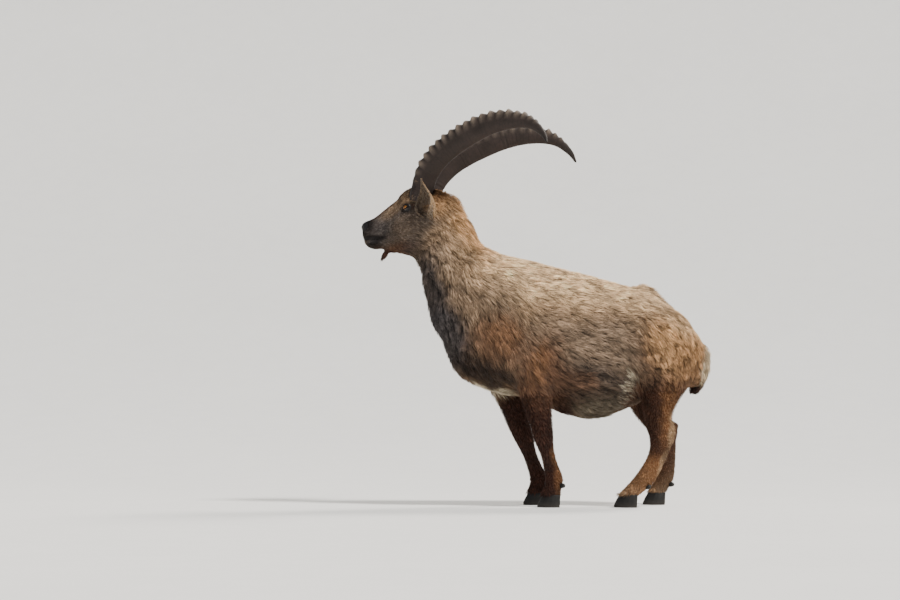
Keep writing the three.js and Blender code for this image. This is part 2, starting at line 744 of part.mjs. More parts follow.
let head = joined([
  headCore,
  beard(),
  ...SIDES.map(([, s]) => lidRing(s)),
  ...SIDES.map(([, s]) => horn(s, true)),
]);
head = without(head, [
  ...SIDES.map(([, s]) => eyeBall(s, GAP)),
  ...SIDES.map(([, s]) => nostril(s)),
  mouthSlit(),
]);
const tail = wrap(tailForm, TAIL, { rings: 8, segments: 12, roundStart: true, roundEnd: true });
addNode('head', largest(head), 'coat');
addNode('neck', largest(neckCore), 'coat');
addNode('torso', largest(torso), 'coat');
addNode('tail', largest(tail.subtract(torsoRaised)), 'coat');
SIDES.forEach(([name, s]) => {
  addNode(`eye_${name}`, eyeBall(s), 'eye');
  addNode(`horn_${name}`, horn(s, false), 'horn');
  addNode(`ear_${name}`, largest(ear(s).subtract(headRaised)), 'coat');
});
LEGS.forEach((leg) => {
  const span = (from, to, level = 0) => wrap(leg.form, leg.tube, {
    from, to, level, rings: Math.round((to - from) * 2.2), segments: 14,
  });
  const upper = span(leg.cut, leg.knee).subtract(torsoRaised);
  const lower = span(leg.knee, leg.tube.last);
  const raised = span(leg.knee, leg.tube.last, GAP);
  addNode(`${leg.name}_upper`, largest(upper), 'leg_coat');
  addNode(`${leg.name}_lower`, largest(lower), 'leg_coat');
  [['outer', true], ['inner', false]].forEach(([which, outer]) => {
    addNode(`${leg.name}_hoof_${which}`, claw(leg, outer), 'hoof');
    addNode(`${leg.name}_dewclaw_${which}`, dewclaw(leg, outer, raised), 'hoof');
  });
});

// The origin is on the floor under the middle of the whole model.
const bounds = new THREE.Box3().setFromObject(ibex);
const middle = bounds.getCenter(new THREE.Vector3());
ibex.position.set(-middle.x, -middle.y, -bounds.min.z);

export default ibex;
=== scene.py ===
"""Visual model of a standing male alpine ibex: skin, coat, horns, eyes, ears and hooves.

Body places are written in millimetres in the animal's own frame, which faces -X with +Z up, and are moved
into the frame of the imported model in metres.
"""

import json
import logging
import math
from dataclasses import dataclass
from enum import Enum

import bpy
import numpy as np
from mathutils import Matrix, Vector
from mathutils.bvhtree import BVHTree

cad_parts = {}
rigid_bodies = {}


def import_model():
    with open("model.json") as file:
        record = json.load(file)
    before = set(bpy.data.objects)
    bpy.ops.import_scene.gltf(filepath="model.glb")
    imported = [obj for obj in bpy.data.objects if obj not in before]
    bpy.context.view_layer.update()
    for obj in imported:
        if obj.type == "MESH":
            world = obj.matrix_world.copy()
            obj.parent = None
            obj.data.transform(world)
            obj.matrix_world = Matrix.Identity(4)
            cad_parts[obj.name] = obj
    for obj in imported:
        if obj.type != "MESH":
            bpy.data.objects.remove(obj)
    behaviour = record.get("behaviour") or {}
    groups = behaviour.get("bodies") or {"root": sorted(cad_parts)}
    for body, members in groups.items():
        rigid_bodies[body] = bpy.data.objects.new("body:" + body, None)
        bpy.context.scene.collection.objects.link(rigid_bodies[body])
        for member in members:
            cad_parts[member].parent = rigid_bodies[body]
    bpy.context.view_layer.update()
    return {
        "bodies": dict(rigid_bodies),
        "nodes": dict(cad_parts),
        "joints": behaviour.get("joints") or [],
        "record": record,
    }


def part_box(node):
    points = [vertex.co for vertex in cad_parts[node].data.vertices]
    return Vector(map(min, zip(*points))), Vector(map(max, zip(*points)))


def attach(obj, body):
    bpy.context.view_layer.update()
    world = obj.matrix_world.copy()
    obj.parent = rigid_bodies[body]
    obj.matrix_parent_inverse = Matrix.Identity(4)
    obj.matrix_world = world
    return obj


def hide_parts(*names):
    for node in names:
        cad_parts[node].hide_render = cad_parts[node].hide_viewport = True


log = logging.getLogger("ibex")

Colour = tuple[float, float, float]
Pair = tuple[float, float]

HEAD_YAW = math.radians(20.0)
HEAD_ROLL = math.radians(-4.0)
HEAD_PIVOT = np.array([-300.0, 8.0, 1040.0])
EYE_PLACE = np.array([-433.0, 53.0, 1067.0])
EYE_RADIUS = 15.5
HORN_ROOT = (-385.0, 37.0, 1132.0)
NECK_LINE = (-343.0, 999.0)
NECK_AHEAD = (-0.774, 0.633)
MM = 1000.0
SENSOR = 36.0
LEFT, RIGHT = -1, 1
SIDES = {"left": LEFT, "right": RIGHT}
LIMBS = ("foreleg", "hindleg")
FLESH = ["head", "neck", "torso", "tail"] + [
    f"{limb}_{side}_{part}" for limb in LIMBS for side in SIDES for part in ("upper", "lower")
]
FEET = [f"{limb}_{side}" for limb in LIMBS for side in SIDES]


class Slot(Enum):
    """Material slots of the record."""

    COAT = "coat"
    HORN = "horn"
    HOOF = "hoof"
    EYE = "eye"


# Number helpers


def unit(vectors: np.ndarray) -> np.ndarray:
    """Scales each row to length one."""
    return vectors / np.maximum(np.linalg.norm(vectors, axis=-1, keepdims=True), 1e-9)


def smoothstep(values: np.ndarray, low: float, high: float) -> np.ndarray:
    """Rises smoothly from 0 at low to 1 at high."""
    t = np.clip((values - low) / (high - low), 0.0, 1.0)
    return t * t * (3.0 - 2.0 * t)


def spline(values: tuple[float, ...], t: np.ndarray) -> np.ndarray:
    """Reads a smooth curve through equally spaced values.

    Args:
        values: The values at t = 0, 1, 2 and so on.
        t: Where to read.

    Returns:
        The values at t.
    """
    v = np.asarray(values, float)
    last = len(v) - 1
    i = np.clip(np.floor(t).astype(int), 0, last - 1)
    f = t - i
    a, b, c, d = v[np.maximum(i - 1, 0)], v[i], v[i + 1], v[np.minimum(i + 2, last)]
    return b + 0.5 * f * (c - a + f * (2 * a - 5 * b + 4 * c - d + f * (3 * (b - c) + d - a)))


def scramble(cells: np.ndarray, seed: int) -> np.ndarray:
    """A number from 0 to 1 for each row of whole numbers, alike on every run.

    Args:
        cells: Rows of three whole numbers.
        seed: Start of the draw.

    Returns:
        A number from 0 to 1 for each row.
    """
    h = (cells[:, 0] * 73856093) ^ (cells[:, 1] * 19349663) ^ (cells[:, 2] * 83492791) ^ (seed * 2654435761)
    h = (h ^ (h >> 13)) * 1274126177 & 0xFFFFFFFF
    return (h ^ (h >> 16)) % 65536 / 65535.0


def noise(points: np.ndarray, size: float, seed: int) -> np.ndarray:
    """Smooth noise from -1 to 1 at points, with lumps of about the given size.

    Args:
        points: Places in the animal's frame, in millimetres.
        size: About how large the lumps are.
        seed: Which of many noises it is.

    Returns:
        The noise at each point.
    """
    p = points / size + seed * 17.31
    base = np.floor(p).astype(np.int64)
    f = p - base
    f = f * f * (3 - 2 * f)
    total = np.zeros(len(p))
    for corner in range(8):
        offset = np.array([corner & 1, corner >> 1 & 1, corner >> 2 & 1])
        total += (scramble(base + offset, seed) * 2 - 1) * np.prod(np.where(offset, f, 1 - f), axis=1)
    return total


def nearest_centres(points: np.ndarray, size: float, seed: int) -> tuple[np.ndarray, np.ndarray]:
    """Finds the nearest of many scattered centres.

    Args:
        points: Where to look from.
        size: About how far apart the centres are.
        seed: Start of the scatter.

    Returns:
        The nearest centre of each point, and three numbers from 0 to 1 that belong to it.
    """
    cell = np.floor(points / size).astype(np.int64)
    best = np.full(len(points), np.inf)
    centre, marks = np.zeros_like(points), np.zeros_like(points)
    for offset in np.ndindex(3, 3, 3):
        other = cell + np.array(offset) - 1
        draw = np.stack([scramble(other, seed + k) for k in range(6)], axis=1)
        place = (other + draw[:, :3]) * size
        gap = np.sum((points - place) ** 2, axis=1)
        near = gap < best
        best[near], centre[near], marks[near] = gap[near], place[near], draw[near, 3:]
    return centre, marks


def noise_vector(points: np.ndarray, size: float, seed: int) -> np.ndarray:
    """Three independent noises side by side."""
    return np.stack([noise(points, size, seed + k) for k in range(3)], axis=1)


@dataclass(frozen=True)
class Anatomy:
    """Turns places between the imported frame, the animal's frame and the head's own frame.

    Attributes:
        shift: What is added to the animal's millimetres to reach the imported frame's millimetres.
    """

    shift: np.ndarray

    @staticmethod
    def head_matrix() -> np.ndarray:
        """The turn of the head as a 3 by 3 matrix."""
        turn = Matrix.Rotation(-HEAD_YAW, 3, "Z") @ Matrix.Rotation(HEAD_ROLL, 3, "X")
        return np.array(turn)

    @classmethod
    def from_frame(cls) -> "Anatomy":
        """Finds the shift from where the left eye was packed.

        Returns:
            The anatomy with its shift.
        """
        low, high = (np.array(corner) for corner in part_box("eye_left"))
        place = cls(np.zeros(3)).on_head(EYE_PLACE * [1, LEFT, 1])
        return cls((low + high) * (MM / 2) - place)

    def on_head(self, local: np.ndarray) -> np.ndarray:
        """Moves points of the head's own frame into the animal's frame."""
        p = np.asarray(local, float) + [0, HEAD_PIVOT[1], 0] - HEAD_PIVOT
        return p @ self.head_matrix().T + HEAD_PIVOT

    def off_head(self, points: np.ndarray) -> np.ndarray:
        """Moves points of the animal's frame into the head's own frame."""
        p = (points - HEAD_PIVOT) @ self.head_matrix() + HEAD_PIVOT
        return p - [0, HEAD_PIVOT[1], 0]

    def head_direction(self, x: float, y: float, z: float) -> np.ndarray:
        """A direction given in the head's own frame."""
        return unit(self.head_matrix() @ np.array([x, y, z]))

    def place(self, points: np.ndarray) -> np.ndarray:
        """Animal millimetres to packed metres."""
        return (np.asarray(points, float) + self.shift) / MM

    def read(self, points: np.ndarray) -> np.ndarray:
        """Packed metres to animal millimetres."""
        return np.asarray(points, float) * MM - self.shift


# Regions, each a weight from 0 to 1 over points of the animal's frame


def ahead_of_neck(local: np.ndarray) -> np.ndarray:
    """How many millimetres points of the head's own frame are ahead of the neck's line."""
    return (local[:, 0] - NECK_LINE[0]) * NECK_AHEAD[0] + (local[:, 2] - NECK_LINE[1]) * NECK_AHEAD[1]


def head_share(points: np.ndarray, anatomy: Anatomy, soft: float = 30.0) -> np.ndarray:
    """How far points are on the head rather than the neck."""
    return smoothstep(ahead_of_neck(anatomy.off_head(points)), -soft, soft)


def leg_share(points: np.ndarray) -> np.ndarray:
    """How far points are on a leg rather than the trunk.

    Args:
        points: Places in the animal's frame, in millimetres.

    Returns:
        The share at each point.
    """
    x, y, z = points.T
    outside = np.maximum(smoothstep(np.abs(y), 40.0, 75.0), smoothstep(-z, -390.0, -360.0))
    fore = smoothstep(-z, -470.0, -395.0) * smoothstep(-x, -170.0, -120.0) * smoothstep(x, -185.0, -140.0)
    start = x - np.clip(z - 300.0, 0.0, 95.0)
    hind = smoothstep(-z, -500.0, -400.0) * smoothstep(start, 205.0, 255.0)
    return np.maximum(fore, hind) * outside


def tail_share(points: np.ndarray) -> np.ndarray:
    """How far points are on the tail.

    Args:
        points: Places in the animal's frame, in millimetres.

    Returns:
        The share at each point.
    """
    x, y, z = points.T
    axis = np.interp(z, [400, 440, 486, 534, 574, 600], [582, 600, 617, 622, 606, 570])
    near = np.hypot(x - axis, y)
    return smoothstep(-near, -44.0, -30.0) * smoothstep(-z, -590.0, -560.0)


def coat_depth(points: np.ndarray, anatomy: Anatomy) -> np.ndarray:
    """How deep the coat is over the skin, in millimetres.

    Args:
        points: Places in the animal's frame, in millimetres.
        anatomy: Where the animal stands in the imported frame.

    Returns:
        The depth at each point.
    """
    x, y, z = points.T
    depth = 15.0 + 4.0 * smoothstep(-x, 60.0, 240.0) + 3.0 * smoothstep(-z, -420.0, -340.0)
    leg = leg_share(points)
    low = smoothstep(-z, -330.0, -250.0)
    depth = depth * (1 - leg) + leg * (9.0 - 5.0 * low)
    depth = np.where(tail_share(points) > 0.5, 8.0, depth)
    local = anatomy.off_head(points)
    face = smoothstep(-local[:, 0], 350.0, 430.0)
    muzzle = smoothstep(-local[:, 0], 520.0, 590.0)
    head = head_share(points, anatomy)
    head_depth = 11.0 * (1 - face) + face * (3.2 - 2.2 * muzzle)
    return depth * (1 - head) + head * head_depth


def beard_share(local: np.ndarray) -> np.ndarray:
    """How far points of the head's own frame are on the beard.

    Args:
        local: Places in the head's own frame.

    Returns:
        The share at each point.
    """
    x, y, z = local.T
    near = smoothstep(-np.hypot((x + 530.0) / 26.0, y / 18.0), -1.25, -0.8)
    return near * smoothstep(-z, -932.0, -920.0)


def horn_gap(local: np.ndarray) -> np.ndarray:
    """How far points of the head's own frame are from a horn's axis, where 1 is about its surface.

    Args:
        local: Places in the head's own frame.

    Returns:
        The gap at each point.
    """
    x, y, z = local.T
    back = x - HORN_ROOT[0] - 0.19 * (z - HORN_ROOT[2])
    return np.hypot(back / 44.0, (np.abs(y) - HORN_ROOT[1]) / 32.0)


def length_scale(points: np.ndarray, anatomy: Anatomy) -> np.ndarray:
    """How long the hair is from place to place, against its region's own length.

    Args:
        points: Places in the animal's frame, in millimetres.
        anatomy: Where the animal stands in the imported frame.

    Returns:
        The factor at each point.
    """
    x, y, z = points.T
    scale = np.ones(len(points))
    chest = smoothstep(-x - 0.3 * (z - 600.0), 215.0, 270.0)
    thigh = smoothstep(x, 360.0, 430.0) * smoothstep(-z, -640.0, -560.0)
    belly = smoothstep(-z, -440.0, -380.0)
    shoulder = np.exp(-((x + 110.0) / 120.0) ** 2 - ((z - 640.0) / 130.0) ** 2)
    scale = scale * (1 - 0.42 * chest) * (1 - 0.4 * thigh) * (1 - 0.25 * belly) * (1 + 0.25 * shoulder)
    foot = smoothstep(-z, -150.0, -110.0) * smoothstep(z, 62.0, 84.0)
    scale = scale * (1 - 0.4 * foot) * (1 + 0.3 * smoothstep(-z, -70.0, -58.0))
    over = head_share(points, anatomy, 110.0)
    return scale * (1 - 1.05 * np.minimum(over, 0.5))


@dataclass(frozen=True)
class Guide:
    """A point of the side view and the way the hair lies there.

    Attributes:
        at: The point, in millimetres.
        lie: The direction, as x and z.
    """

    at: Pair
    lie: Pair


GUIDES = [
    Guide((-600, 985), (1.0, 0.3)), Guide((-520, 1060), (0.8, 0.6)), Guide((-430, 1120), (0.8, 0.6)),
    Guide((-450, 985), (1.0, 0.05)), Guide((-440, 925), (1.0, -0.2)), Guide((-395, 885), (0.5, -0.9)),
    Guide((-290, 1085), (0.6, -0.8)), Guide((-270, 960), (0.5, -0.9)), Guide((-375, 780), (0.1, -1.0)),
    Guide((-160, 890), (0.85, -0.5)), Guide((-240, 760), (0.5, -0.85)), Guide((-60, 860), (1.0, -0.25)),
    Guide((-120, 680), (0.55, -0.85)), Guide((-290, 600), (0.15, -1.0)), Guide((-220, 470), (0.6, -0.8)),
    Guide((-60, 520), (0.35, -0.95)), Guide((120, 840), (1.0, -0.25)), Guide((300, 790), (1.0, -0.3)),
    Guide((420, 750), (0.95, -0.35)), Guide((540, 660), (0.7, -0.7)), Guide((620, 540), (0.05, -1.0)),
    Guide((100, 640), (0.95, -0.35)), Guide((260, 600), (0.95, -0.3)), Guide((350, 500), (0.8, -0.6)),
    Guide((80, 420), (0.95, -0.3)), Guide((250, 350), (0.95, -0.3)), Guide((460, 580), (0.5, -0.85)),
    Guide((440, 430), (0.15, -1.0)), Guide((450, 280), (0.0, -1.0)), Guide((400, 110), (-0.45, -0.9)),
    Guide((500, 150), (-0.05, -1.0)), Guide((40, 330), (0.1, -1.0)), Guide((70, 120), (0.1, -1.0)),
]


def lie_at(points: np.ndarray, anatomy: Anatomy) -> np.ndarray:
    """The way the hair lies at points of the animal's frame, before it is laid on the skin.

    Args:
        points: Places in the animal's frame, in millimetres.
        anatomy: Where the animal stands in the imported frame.

    Returns:
        A unit direction for each point.
    """
    head = head_share(points, anatomy)[:, None]
    local = anatomy.off_head(points)
    side_view = np.where(head > 0.5, local[:, [0, 2]], points[:, [0, 2]])
    total = np.zeros((len(points), 2))
    for guide in GUIDES:
        gap = np.sum((side_view - guide.at) ** 2, axis=1)
        total += np.exp(-gap / (2 * 75.0**2))[:, None] * np.array(guide.lie) + 1e-9 * np.array([0.7, -0.7])
    flat = unit(np.stack([total[:, 0], np.zeros(len(points)), total[:, 1]], axis=1))
    turned = flat @ anatomy.head_matrix().T
    return unit(flat * (1 - head) + turned * head)


# Markings


@dataclass(frozen=True)
class Patch:
    """A soft oval of colour in the side view.

    Attributes:
        colour: Linear colour.
        at: Middle of the oval.
        size: Half lengths of the oval.
        tilt: Turn of its long axis, in degrees.
        strength: How much it covers.
        soft: Share of its size over which it fades.
        middle: Half width about the midline that it keeps to, or None for all.
    """

    colour: Colour
    at: Pair
    size: Pair
    tilt: float = 0.0
    strength: float = 0.9
    soft: float = 0.5
    middle: float | None = None


# Pale blond coat, brightened in part as painted sunlight on the back, withers and rump.
BLOND_AND_SUNLIT = (0.71, 0.495, 0.295)
TAN = (0.37, 0.245, 0.145)
# Golden coat, used also as painted sunlit highlight on the nape, haunch and crown.
GOLD_AND_HIGHLIGHT = (0.66, 0.385, 0.185)
GREY_BROWN = (0.195, 0.140, 0.100)
FLANK = (0.045, 0.034, 0.029)
BROWN = (0.128, 0.064, 0.036)
RUFOUS = (0.28, 0.135, 0.060)
CHESTNUT = (0.048, 0.020, 0.013)
# Painted shade: a dark colour laid where shadow falls in recesses and folds of the coat.
PAINTED_SHADE = (0.018, 0.011, 0.009)
SOOT = (0.010, 0.008, 0.008)
CREAM = (0.78, 0.67, 0.49)
STRAW = (0.125, 0.105, 0.075)
SLATE = (0.060, 0.054, 0.056)
FACE = (0.150, 0.118, 0.094)
BRUSH = (0.60, 0.47, 0.31)
EAR_BACK = (0.13, 0.10, 0.08)
EAR_EDGE = (0.42, 0.28, 0.16)
EAR_CUP = (0.20, 0.155, 0.115)
# Painted shade: darkens the skin's colour where it lies under the hair.
SHADE_UNDER_COAT = (0.5, 0.47, 0.45)
MOIST = (0.009, 0.008, 0.008)
HORN_DARK = (0.030, 0.021, 0.018)
HORN_WORN = (0.16, 0.125, 0.098)
HORN_TIP = (0.022, 0.018, 0.016)
HORN_GROOVE = (0.009, 0.007, 0.006)
HOOF_DARK = (0.011, 0.010, 0.009)
HOOF_WORN = (0.08, 0.068, 0.056)
IRIS = (0.42, 0.17, 0.025)
IRIS_FIBRE = (0.15, 0.05, 0.010)
IRIS_RIM = (0.012, 0.008, 0.006)
PUPIL = (0.003, 0.003, 0.003)
FLOOR = (0.70, 0.695, 0.68)
SKY = (0.80, 0.86, 0.94)

BODY_PATCHES = [
    # Blond back, partly painted sunlight on the top of the back.
    Patch(BLOND_AND_SUNLIT, (110, 815), (420, 90), -9, 0.9),
    # Blond withers, partly painted sunlight.
    Patch(BLOND_AND_SUNLIT, (-150, 905), (90, 60), -30, 0.8),
    # Golden nape, partly painted sunlit highlight.
    Patch(GOLD_AND_HIGHLIGHT, (-235, 1000), (40, 120), 20, 0.8),
    Patch(GREY_BROWN, (170, 570), (340, 110), -6, 0.8),
    Patch(FLANK, (190, 435), (280, 80), -6, 0.85),
    Patch(GREY_BROWN, (-310, 860), (70, 120), 20, 0.75),
    Patch(TAN, (-250, 900), (45, 100), 25, 0.7),
    Patch(SLATE, (-370, 790), (56, 170), 14, 0.85),
    Patch(SLATE, (-300, 610), (80, 150), 20, 0.95),
    Patch(GREY_BROWN, (-170, 720), (95, 90), 0, 0.6),
    Patch(BROWN, (-130, 610), (95, 95), 0, 0.8),
    Patch(RUFOUS, (-120, 640), (70, 50), -30, 0.3),
    Patch(BROWN, (10, 500), (85, 120), -10, 0.85),
    Patch(RUFOUS, (5, 520), (34, 70), 0, 0.4),
    # Painted shadow of the near foreleg in the recess behind the chest, over partly real dark coat there.
    Patch(PAINTED_SHADE, (-168, 490), (108, 60), -18, 0.92, 0.45),
    Patch(BROWN, (140, 450), (70, 34), -20, 0.6),
    Patch(STRAW, (190, 338), (190, 40), 4, 0.9),
    Patch(CREAM, (-150, 424), (80, 14), -12, 0.8),
    Patch(BROWN, (480, 540), (120, 170), 10, 0.7),
    # Golden haunch, partly painted sunlit highlight.
    Patch(GOLD_AND_HIGHLIGHT, (530, 610), (125, 130), -30, 0.85),
    Patch(RUFOUS, (560, 500), (70, 110), 10, 0.4),
    # Blond top edge of the rump, partly painted sunlit rim.
    Patch(BLOND_AND_SUNLIT, (470, 700), (130, 40), -32, 0.6),
    # Painted shade in the fold at the front of the thigh.
    Patch(PAINTED_SHADE, (352, 430), (12, 80), 12, 0.6),
    Patch(CREAM, (640, 505), (36, 75), 0, 0.95, 0.4, 90),
]
LEG_PATCHES = [
    Patch(CHESTNUT, (0, 170), (230, 275), 0, 1.0, 0.25),
    Patch(BROWN, (40, 430), (75, 80), 0, 0.8),
    Patch(RUFOUS, (92, 150), (20, 110), 0, 0.5),
    Patch(BROWN, (440, 330), (150, 220), 0, 1.0, 0.3),
    Patch(CHESTNUT, (420, 330), (36, 190), 4, 0.75),
    Patch(RUFOUS, (486, 330), (30, 150), 0, 0.7),
    Patch(RUFOUS, (400, 110), (70, 80), -50, 0.75),
    Patch(BLOND_AND_SUNLIT, (492, 250), (12, 70), 8, 0.65),
    Patch(BLOND_AND_SUNLIT, (456, 150), (14, 70), -24, 0.6),
    Patch(CHESTNUT, (500, 150), (40, 110), 0, 0.7),
]
HEAD_PATCHES = [
    Patch(FACE, (-480, 1020), (220, 150), 0, 1.0, 0.3),
    Patch(TAN, (-480, 1078), (80, 24), 40, 0.6),
    Patch(SLATE, (-500, 1035), (60, 26), 35, 0.35),
    Patch(GREY_BROWN, (-425, 985), (60, 50), 0, 0.45),
    Patch(TAN, (-440, 1110), (45, 22), -50, 0.55),
    Patch(CHESTNUT, (-530, 1072), (125, 14), 38, 0.9, 0.6, 24),
    Patch(SLATE, (-560, 990), (54, 46), 0, 0.7),
    Patch(SOOT, (-612, 1004), (40, 38), 0, 0.85, 0.6),
    Patch(SLATE, (-575, 952), (24, 10), 10, 0.9),
    Patch(SOOT, (-585, 966), (62, 8), 0, 0.95),
    Patch(SOOT, (-585, 936), (40, 12), 0, 0.8),
    Patch(SOOT, (-606, 1022), (28, 24), 0, 0.97),
    Patch(BROWN, (-500, 915), (110, 26), 8, 0.9),
    Patch(SOOT, (-433, 1066), (30, 21), 20, 0.85),
    Patch(CHESTNUT, (-404, 1072), (30, 12), 10, 0.5),
    Patch(SLATE, (-395, 905), (70, 50), 0, 0.6),
    # Golden crown, partly painted highlight on its curls.
    Patch(GOLD_AND_HIGHLIGHT, (-300, 1098), (72, 62), 0, 0.7),
    Patch(RUFOUS, (-318, 1128), (50, 30), 0, 0.5),
]


@dataclass(frozen=True)
class Markings:
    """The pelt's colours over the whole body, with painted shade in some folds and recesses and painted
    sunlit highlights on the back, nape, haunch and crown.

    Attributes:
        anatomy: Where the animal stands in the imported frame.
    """

    anatomy: Anatomy

    def lay(self, colour: np.ndarray, flat: np.ndarray, across: np.ndarray,
            patches: list[Patch]) -> np.ndarray:
        """Paints patches over a colour.

        Args:
            colour: Colours so far.
            flat: Places in the side view, already made uneven.
            across: Distance from the midline.
            patches: What to paint, in order.

        Returns:
            The new colours.
        """
        for patch in patches:
            c, s = math.cos(math.radians(patch.tilt)), math.sin(math.radians(patch.tilt))
            d = flat - patch.at
            a = (d[:, 0] * c + d[:, 1] * s) / patch.size[0]
            b = (d[:, 1] * c - d[:, 0] * s) / patch.size[1]
            cover = patch.strength * (1 - smoothstep(np.hypot(a, b), 1 - patch.soft, 1 + patch.soft))
            if patch.middle:
                cover = cover * (1 - smoothstep(across, patch.middle * 0.7, patch.middle * 1.2))
            colour = colour + (np.array(patch.colour) - colour) * cover[:, None]
        return colour

    def colour(self, points: np.ndarray) -> np.ndarray:
        """The pelt's linear colour at points of the animal's frame.

        Args:
            points: Places in the animal's frame, in millimetres.

        Returns:
            A colour for each point.
        """
        warp = noise_vector(points, 60.0, 3) * 14.0 + noise_vector(points, 22.0, 9) * 6.0
        body_flat = points[:, [0, 2]] + warp[:, [0, 2]]
        across = np.abs(points[:, 1])
        base = np.tile(np.array(TAN), (len(points), 1))
        body = self.lay(base, body_flat, across, BODY_PATCHES)
        leg = self.lay(body, body_flat, across, LEG_PATCHES)
        share = leg_share(points)
        body = body + (leg - body) * share[:, None]
        tail = tail_share(points)[:, None]
        brush = smoothstep(points[:, 2] + 14 * noise(points, 12.0, 27), 448.0, 474.0)[:, None]
        body = body * (1 - tail) + (np.array(CHESTNUT) * (1 - brush) + np.array(BRUSH) * brush) * tail
        local = self.anatomy.off_head(points)
        head_flat = local[:, [0, 2]] + warp[:, [0, 2]] * 0.3
        head = self.lay(body, head_flat, np.abs(local[:, 1]), HEAD_PATCHES)
        amount = head_share(points, self.anatomy)[:, None]
        colour = body + (head - body) * amount
        beard = (beard_share(local) * amount[:, 0])[:, None]
        colour = colour * (1 - beard) + np.array(CHESTNUT) * 1.5 * beard
        boss = (1 - smoothstep(horn_gap(local), 0.95, 1.25)) * amount[:, 0]
        boss = boss * smoothstep(local[:, 2], 1100.0, 1112.0)
        colour = colour * (1 - boss)[:, None] + np.array(SOOT) * 2.0 * boss[:, None]
        tuft = smoothstep(noise(points, 20.0, 23) + 0.5 * noise(points, 9.0, 24), 0.0, 0.5)
        pale = np.exp(-((points[:, 0] - 322) / 34) ** 2 - ((points[:, 2] - 440) / 60) ** 2)
        colour = colour + (np.array(CREAM) - colour) * np.clip(pale * tuft, 0, 0.6)[:, None]
        curl = smoothstep(noise(points, 13.0, 25), 0.05, 0.5) * smoothstep(points[:, 0], 330.0, 430.0)
        colour = colour * (1 - 0.45 * curl * smoothstep(points[:, 2], 300.0, 420.0))[:, None]
        blotch = 1 + 0.2 * noise(points, 45.0, 21) + 0.16 * noise(points, 16.0, 22)
        return np.clip(colour * blotch[:, None], 0.004, 1.0)

    def bareness(self, points: np.ndarray) -> np.ndarray:
        """Where the skin is bare and moist: the nose, the edges of the lips and the rims of the eyes.

        Args:
            points: Places in the animal's frame, in millimetres.

        Returns:
            The share of bare skin at each point.
        """
        local = self.anatomy.off_head(points)
        x, y, z = local.T
        nose = 1 - smoothstep(np.hypot((x + 612) / 17, (z - 1012) / 20), 0.8, 1.2)
        lips = 0.5 * (1 - smoothstep(np.abs(z - 966), 2.5, 5.0)) * smoothstep(-x, 545, 560)
        eye = 1 - smoothstep(np.hypot((x - EYE_PLACE[0]) / 20, (z - EYE_PLACE[2]) / 15), 0.85, 1.1)
        eye = eye * smoothstep(np.abs(y), 40.0, 48.0)
        return np.clip(nose + lips + eye, 0, 1) * head_share(points, self.anatomy)


# Meshes


def mesh_object(name: str, vertices: np.ndarray, faces: np.ndarray) -> bpy.types.Object:
    """Makes a smooth-shaded mesh object in the scene.

    Args:
        name: Object name.
        vertices: Places in metres.
        faces: Rows of three or four vertex numbers.

    Returns:
        The new object.
    """
    mesh = bpy.data.meshes.new(name)
    mesh.vertices.add(len(vertices))
    mesh.vertices.foreach_set("co", np.ascontiguousarray(vertices, np.float32).ravel())
    sides = faces.shape[1]
    mesh.loops.add(faces.size)
    mesh.loops.foreach_set("vertex_index", np.ascontiguousarray(faces, np.int32).ravel())
    mesh.polygons.add(len(faces))
    mesh.polygons.foreach_set("loop_start", np.arange(0, faces.size, sides, dtype=np.int32))
    mesh.polygons.foreach_set("use_smooth", np.ones(len(faces), bool))
    mesh.update(calc_edges=True)
    mesh.validate()
    obj = bpy.data.objects.new(name, mesh)
    bpy.context.scene.collection.objects.link(obj)
    return obj


def node_mesh(names: list[str], nodes: dict) -> tuple[np.ndarray, np.ndarray]:
    """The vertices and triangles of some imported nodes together.

    Args:
        names: Names of the nodes.
        nodes: The frame's nodes by name.

    Returns:
        The vertices in metres, and the triangles.
    """
    vertices, faces, start = [], [], 0
    for name in names:
        mesh = nodes[name].data
        mesh.calc_loop_triangles()
        co = np.empty(len(mesh.vertices) * 3, np.float32)
        mesh.vertices.foreach_get("co", co)
        tri = np.empty(len(mesh.loop_triangles) * 3, np.int32)
        mesh.loop_triangles.foreach_get("vertices", tri)
        vertices.append(co.reshape(-1, 3))
        faces.append(tri.reshape(-1, 3) + start)
        start += len(mesh.vertices)
    return np.concatenate(vertices).astype(float), np.concatenate(faces)


